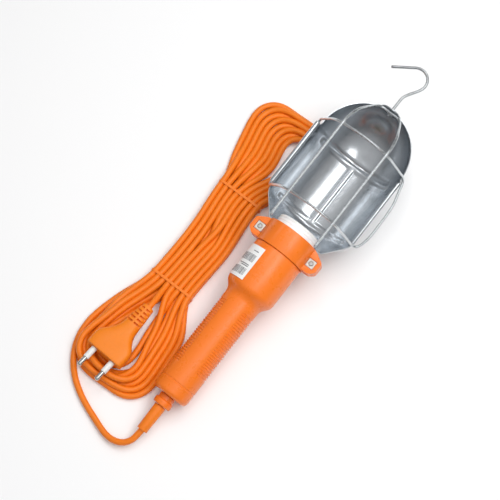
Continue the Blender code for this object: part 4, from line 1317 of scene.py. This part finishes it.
def paper_material():
    nodes = Nodes("label_paper_look", (0.90, 0.90, 0.89), 0.45, IOR=1.45)
    nodes.blend_colour(nodes.noise(0.0009, 5.0), (0.86, 0.86, 0.85), (0.93, 0.93, 0.925))
    nodes.roughen(nodes.noise(0.003, 3.0), 0.38, 0.55)
    nodes.bump([(nodes.noise(0.0003, 3.0), 0.00002, 0.3)])
    return nodes.material


def make_materials():
    orange = (0.88, 0.190, 0.014)
    return {
        "orange_plastic": moulded_plastic("orange_plastic_look", orange, 0.24, 0.36),
        "orange_pvc": soft_pvc("orange_pvc_look", (0.85, 0.200, 0.007), 0.36, 0.50),
        "plug_pvc": soft_pvc("plug_pvc_look", (0.86, 0.220, 0.007), 0.36, 0.48),
        "white_holder": moulded_plastic("white_holder_look", (0.92, 0.92, 0.91), 0.2, 0.3, 0.0),
        "zinc_sheet": zinc_sheet_material(),
        "zinc_wire": wire_material("zinc_wire_look", (0.60, 0.63, 0.65), 0.20, 0.34),
        "hook_wire": wire_material("hook_wire_look", (0.50, 0.52, 0.53), 0.18, 0.32),
        "weld": wire_material("weld_look", (0.56, 0.57, 0.58), 0.35, 0.55),
        "fastener_steel": wire_material("fastener_steel_look", (0.74, 0.74, 0.72), 0.25, 0.40),
        "nut_steel": wire_material("nut_steel_look", (0.92, 0.90, 0.84), 0.40, 0.55),
        "brass_contact": wire_material("brass_contact_look", (0.76, 0.56, 0.22), 0.22, 0.36),
        "brown_core": soft_pvc("brown_core_look", (0.16, 0.07, 0.03), 0.4, 0.5),
        "blue_core": soft_pvc("blue_core_look", (0.04, 0.12, 0.42), 0.4, 0.5),
        "label_paper": paper_material(),
        "label_ink": soft_pvc("label_ink_look", (0.11, 0.11, 0.12), 0.5, 0.6),
        "pin_metal": wire_material("pin_metal_look", (0.60, 0.60, 0.58), 0.14, 0.28),
        "pin_sleeve": moulded_plastic("pin_sleeve_look", (0.80, 0.80, 0.78), 0.3, 0.4, 0.0),
    }


def dress_carried_nodes(mats):
    """The CAD nodes that stay, all of them inside the handle and the lampholder."""
    looks = {
        "lampholder_base": "white_holder", "centre_contact": "brass_contact",
        "side_contact": "brass_contact", "terminal_screw_1": "brass_contact",
        "terminal_screw_2": "brass_contact", "core_wire_brown": "brown_core",
        "core_wire_blue": "blue_core", "cord_tail": "orange_pvc", "cord_clamp_saddle": "white_holder",
        "cord_clamp_bar": "white_holder", "cord_clamp_screw_1": "fastener_steel",
        "cord_clamp_screw_2": "fastener_steel",
    }
    for node, look in looks.items():
        for slot in frame["nodes"][node].material_slots:
            slot.material = mats[look]


# --- camera, light and floor ---------------------------------------------------------------------

def build_camera():
    data = bpy.data.cameras.new("camera")
    data.lens = LENS
    data.clip_start = 0.05
    data.clip_end = 20.0
    camera = link("camera", data)
    look = (CAMERA_TARGET - CAMERA_PLACE).to_track_quat("-Z", "Y").to_matrix().to_4x4()
    camera.matrix_world = Matrix.Translation(CAMERA_PLACE) @ look @ Matrix.Rotation(CAMERA_ROLL, 4, "Z")
    bpy.context.scene.camera = camera


def softbox(name, place, target, size, power, mirrored=True):
    """A rectangular light; one that isn't mirrored leaves no highlight on gloss or metal."""
    data = bpy.data.lights.new(name, "AREA")
    data.shape = "RECTANGLE"
    data.size, data.size_y = size
    data.energy = power
    lamp = link(name, data)
    lamp.visible_glossy = mirrored
    aim = (Vector(target) - Vector(place)).to_track_quat("-Z", "Y").to_matrix().to_4x4()
    lamp.matrix_world = Matrix.Translation(place) @ aim


def build_light():
    """A wide key that only lights, and three softboxes that metal and gloss mirror."""
    middle = (0.02, -0.02, 0.0)
    softbox("key", (0.15, -0.25, 1.20), middle, (1.30, 1.10), 10.2, mirrored=False)
    softbox("overhead", (0.20, -0.40, 1.12), middle, (0.70, 0.38), 2.6)
    softbox("left", (0.34, 0.30, 1.15), middle, (0.28, 0.28), 0.70)
    softbox("right", (0.80, 0.00, 1.05), middle, (0.30, 0.30), 0.80)

    world = bpy.data.worlds.new("studio")
    bpy.context.scene.world = world
    world.use_nodes = True
    tree = world.node_tree
    background = tree.nodes["Background"]
    background.inputs["Strength"].default_value = 1.0
    direction = tree.nodes.new("ShaderNodeTexCoord").outputs["Generated"]
    split = tree.nodes.new("ShaderNodeSeparateXYZ")
    tree.links.new(direction, split.inputs["Vector"])
    ramp = tree.nodes.new("ShaderNodeValToRGB")
    tree.links.new(split.outputs["Z"], ramp.inputs["Fac"])
    elements = ramp.color_ramp.elements
    elements[0].position = 0.0
    elements[0].color = (0.13, 0.135, 0.14, 1.0)
    elements[1].position = 1.0
    elements[1].color = (0.64, 0.64, 0.64, 1.0)
    for position, level in ((0.35, 0.20), (0.70, 0.46)):
        elements.new(position).color = (level, level, level * 1.01, 1.0)
    seen = tree.nodes.new("ShaderNodeLightPath").outputs["Is Camera Ray"]
    choose = tree.nodes.new("ShaderNodeMix")
    choose.data_type = "RGBA"
    tree.links.new(seen, choose.inputs["Factor"])
    colours = [i for i in choose.inputs if i.type == "RGBA"]
    tree.links.new(ramp.outputs["Color"], colours[0])
    colours[1].default_value = (0.93, 0.93, 0.93, 1.0)
    result = next(o for o in choose.outputs if o.type == "RGBA")
    tree.links.new(result, background.inputs["Color"])


def build_floor():
    half = 4.0
    mesh = bpy.data.meshes.new("floor")
    corners = [(-half, -half, 0), (half, -half, 0), (half, half, 0), (-half, half, 0)]
    mesh.from_pydata(corners, [], [(0, 1, 2, 3)])
    floor = link("floor", mesh)
    paint = Nodes("floor_paint", (0.90, 0.90, 0.90), 0.75)
    paint.shader.inputs["Specular IOR Level"].default_value = 0.1
    mesh.materials.append(paint.material)


# --- scene ---------------------------------------------------------------------------------------

build_camera()
materials = make_materials()
cord, ties = build_cord(materials)
on_cord = ties + build_plug(materials)
build_handle(materials)
build_label(materials)
build_clamp(materials)
build_lampholder(materials)
build_reflector(materials)
build_guard(materials)
build_hook(materials)
dress_carried_nodes(materials)
build_light()
build_floor()
bpy.context.scene.view_settings.view_transform = "Standard"
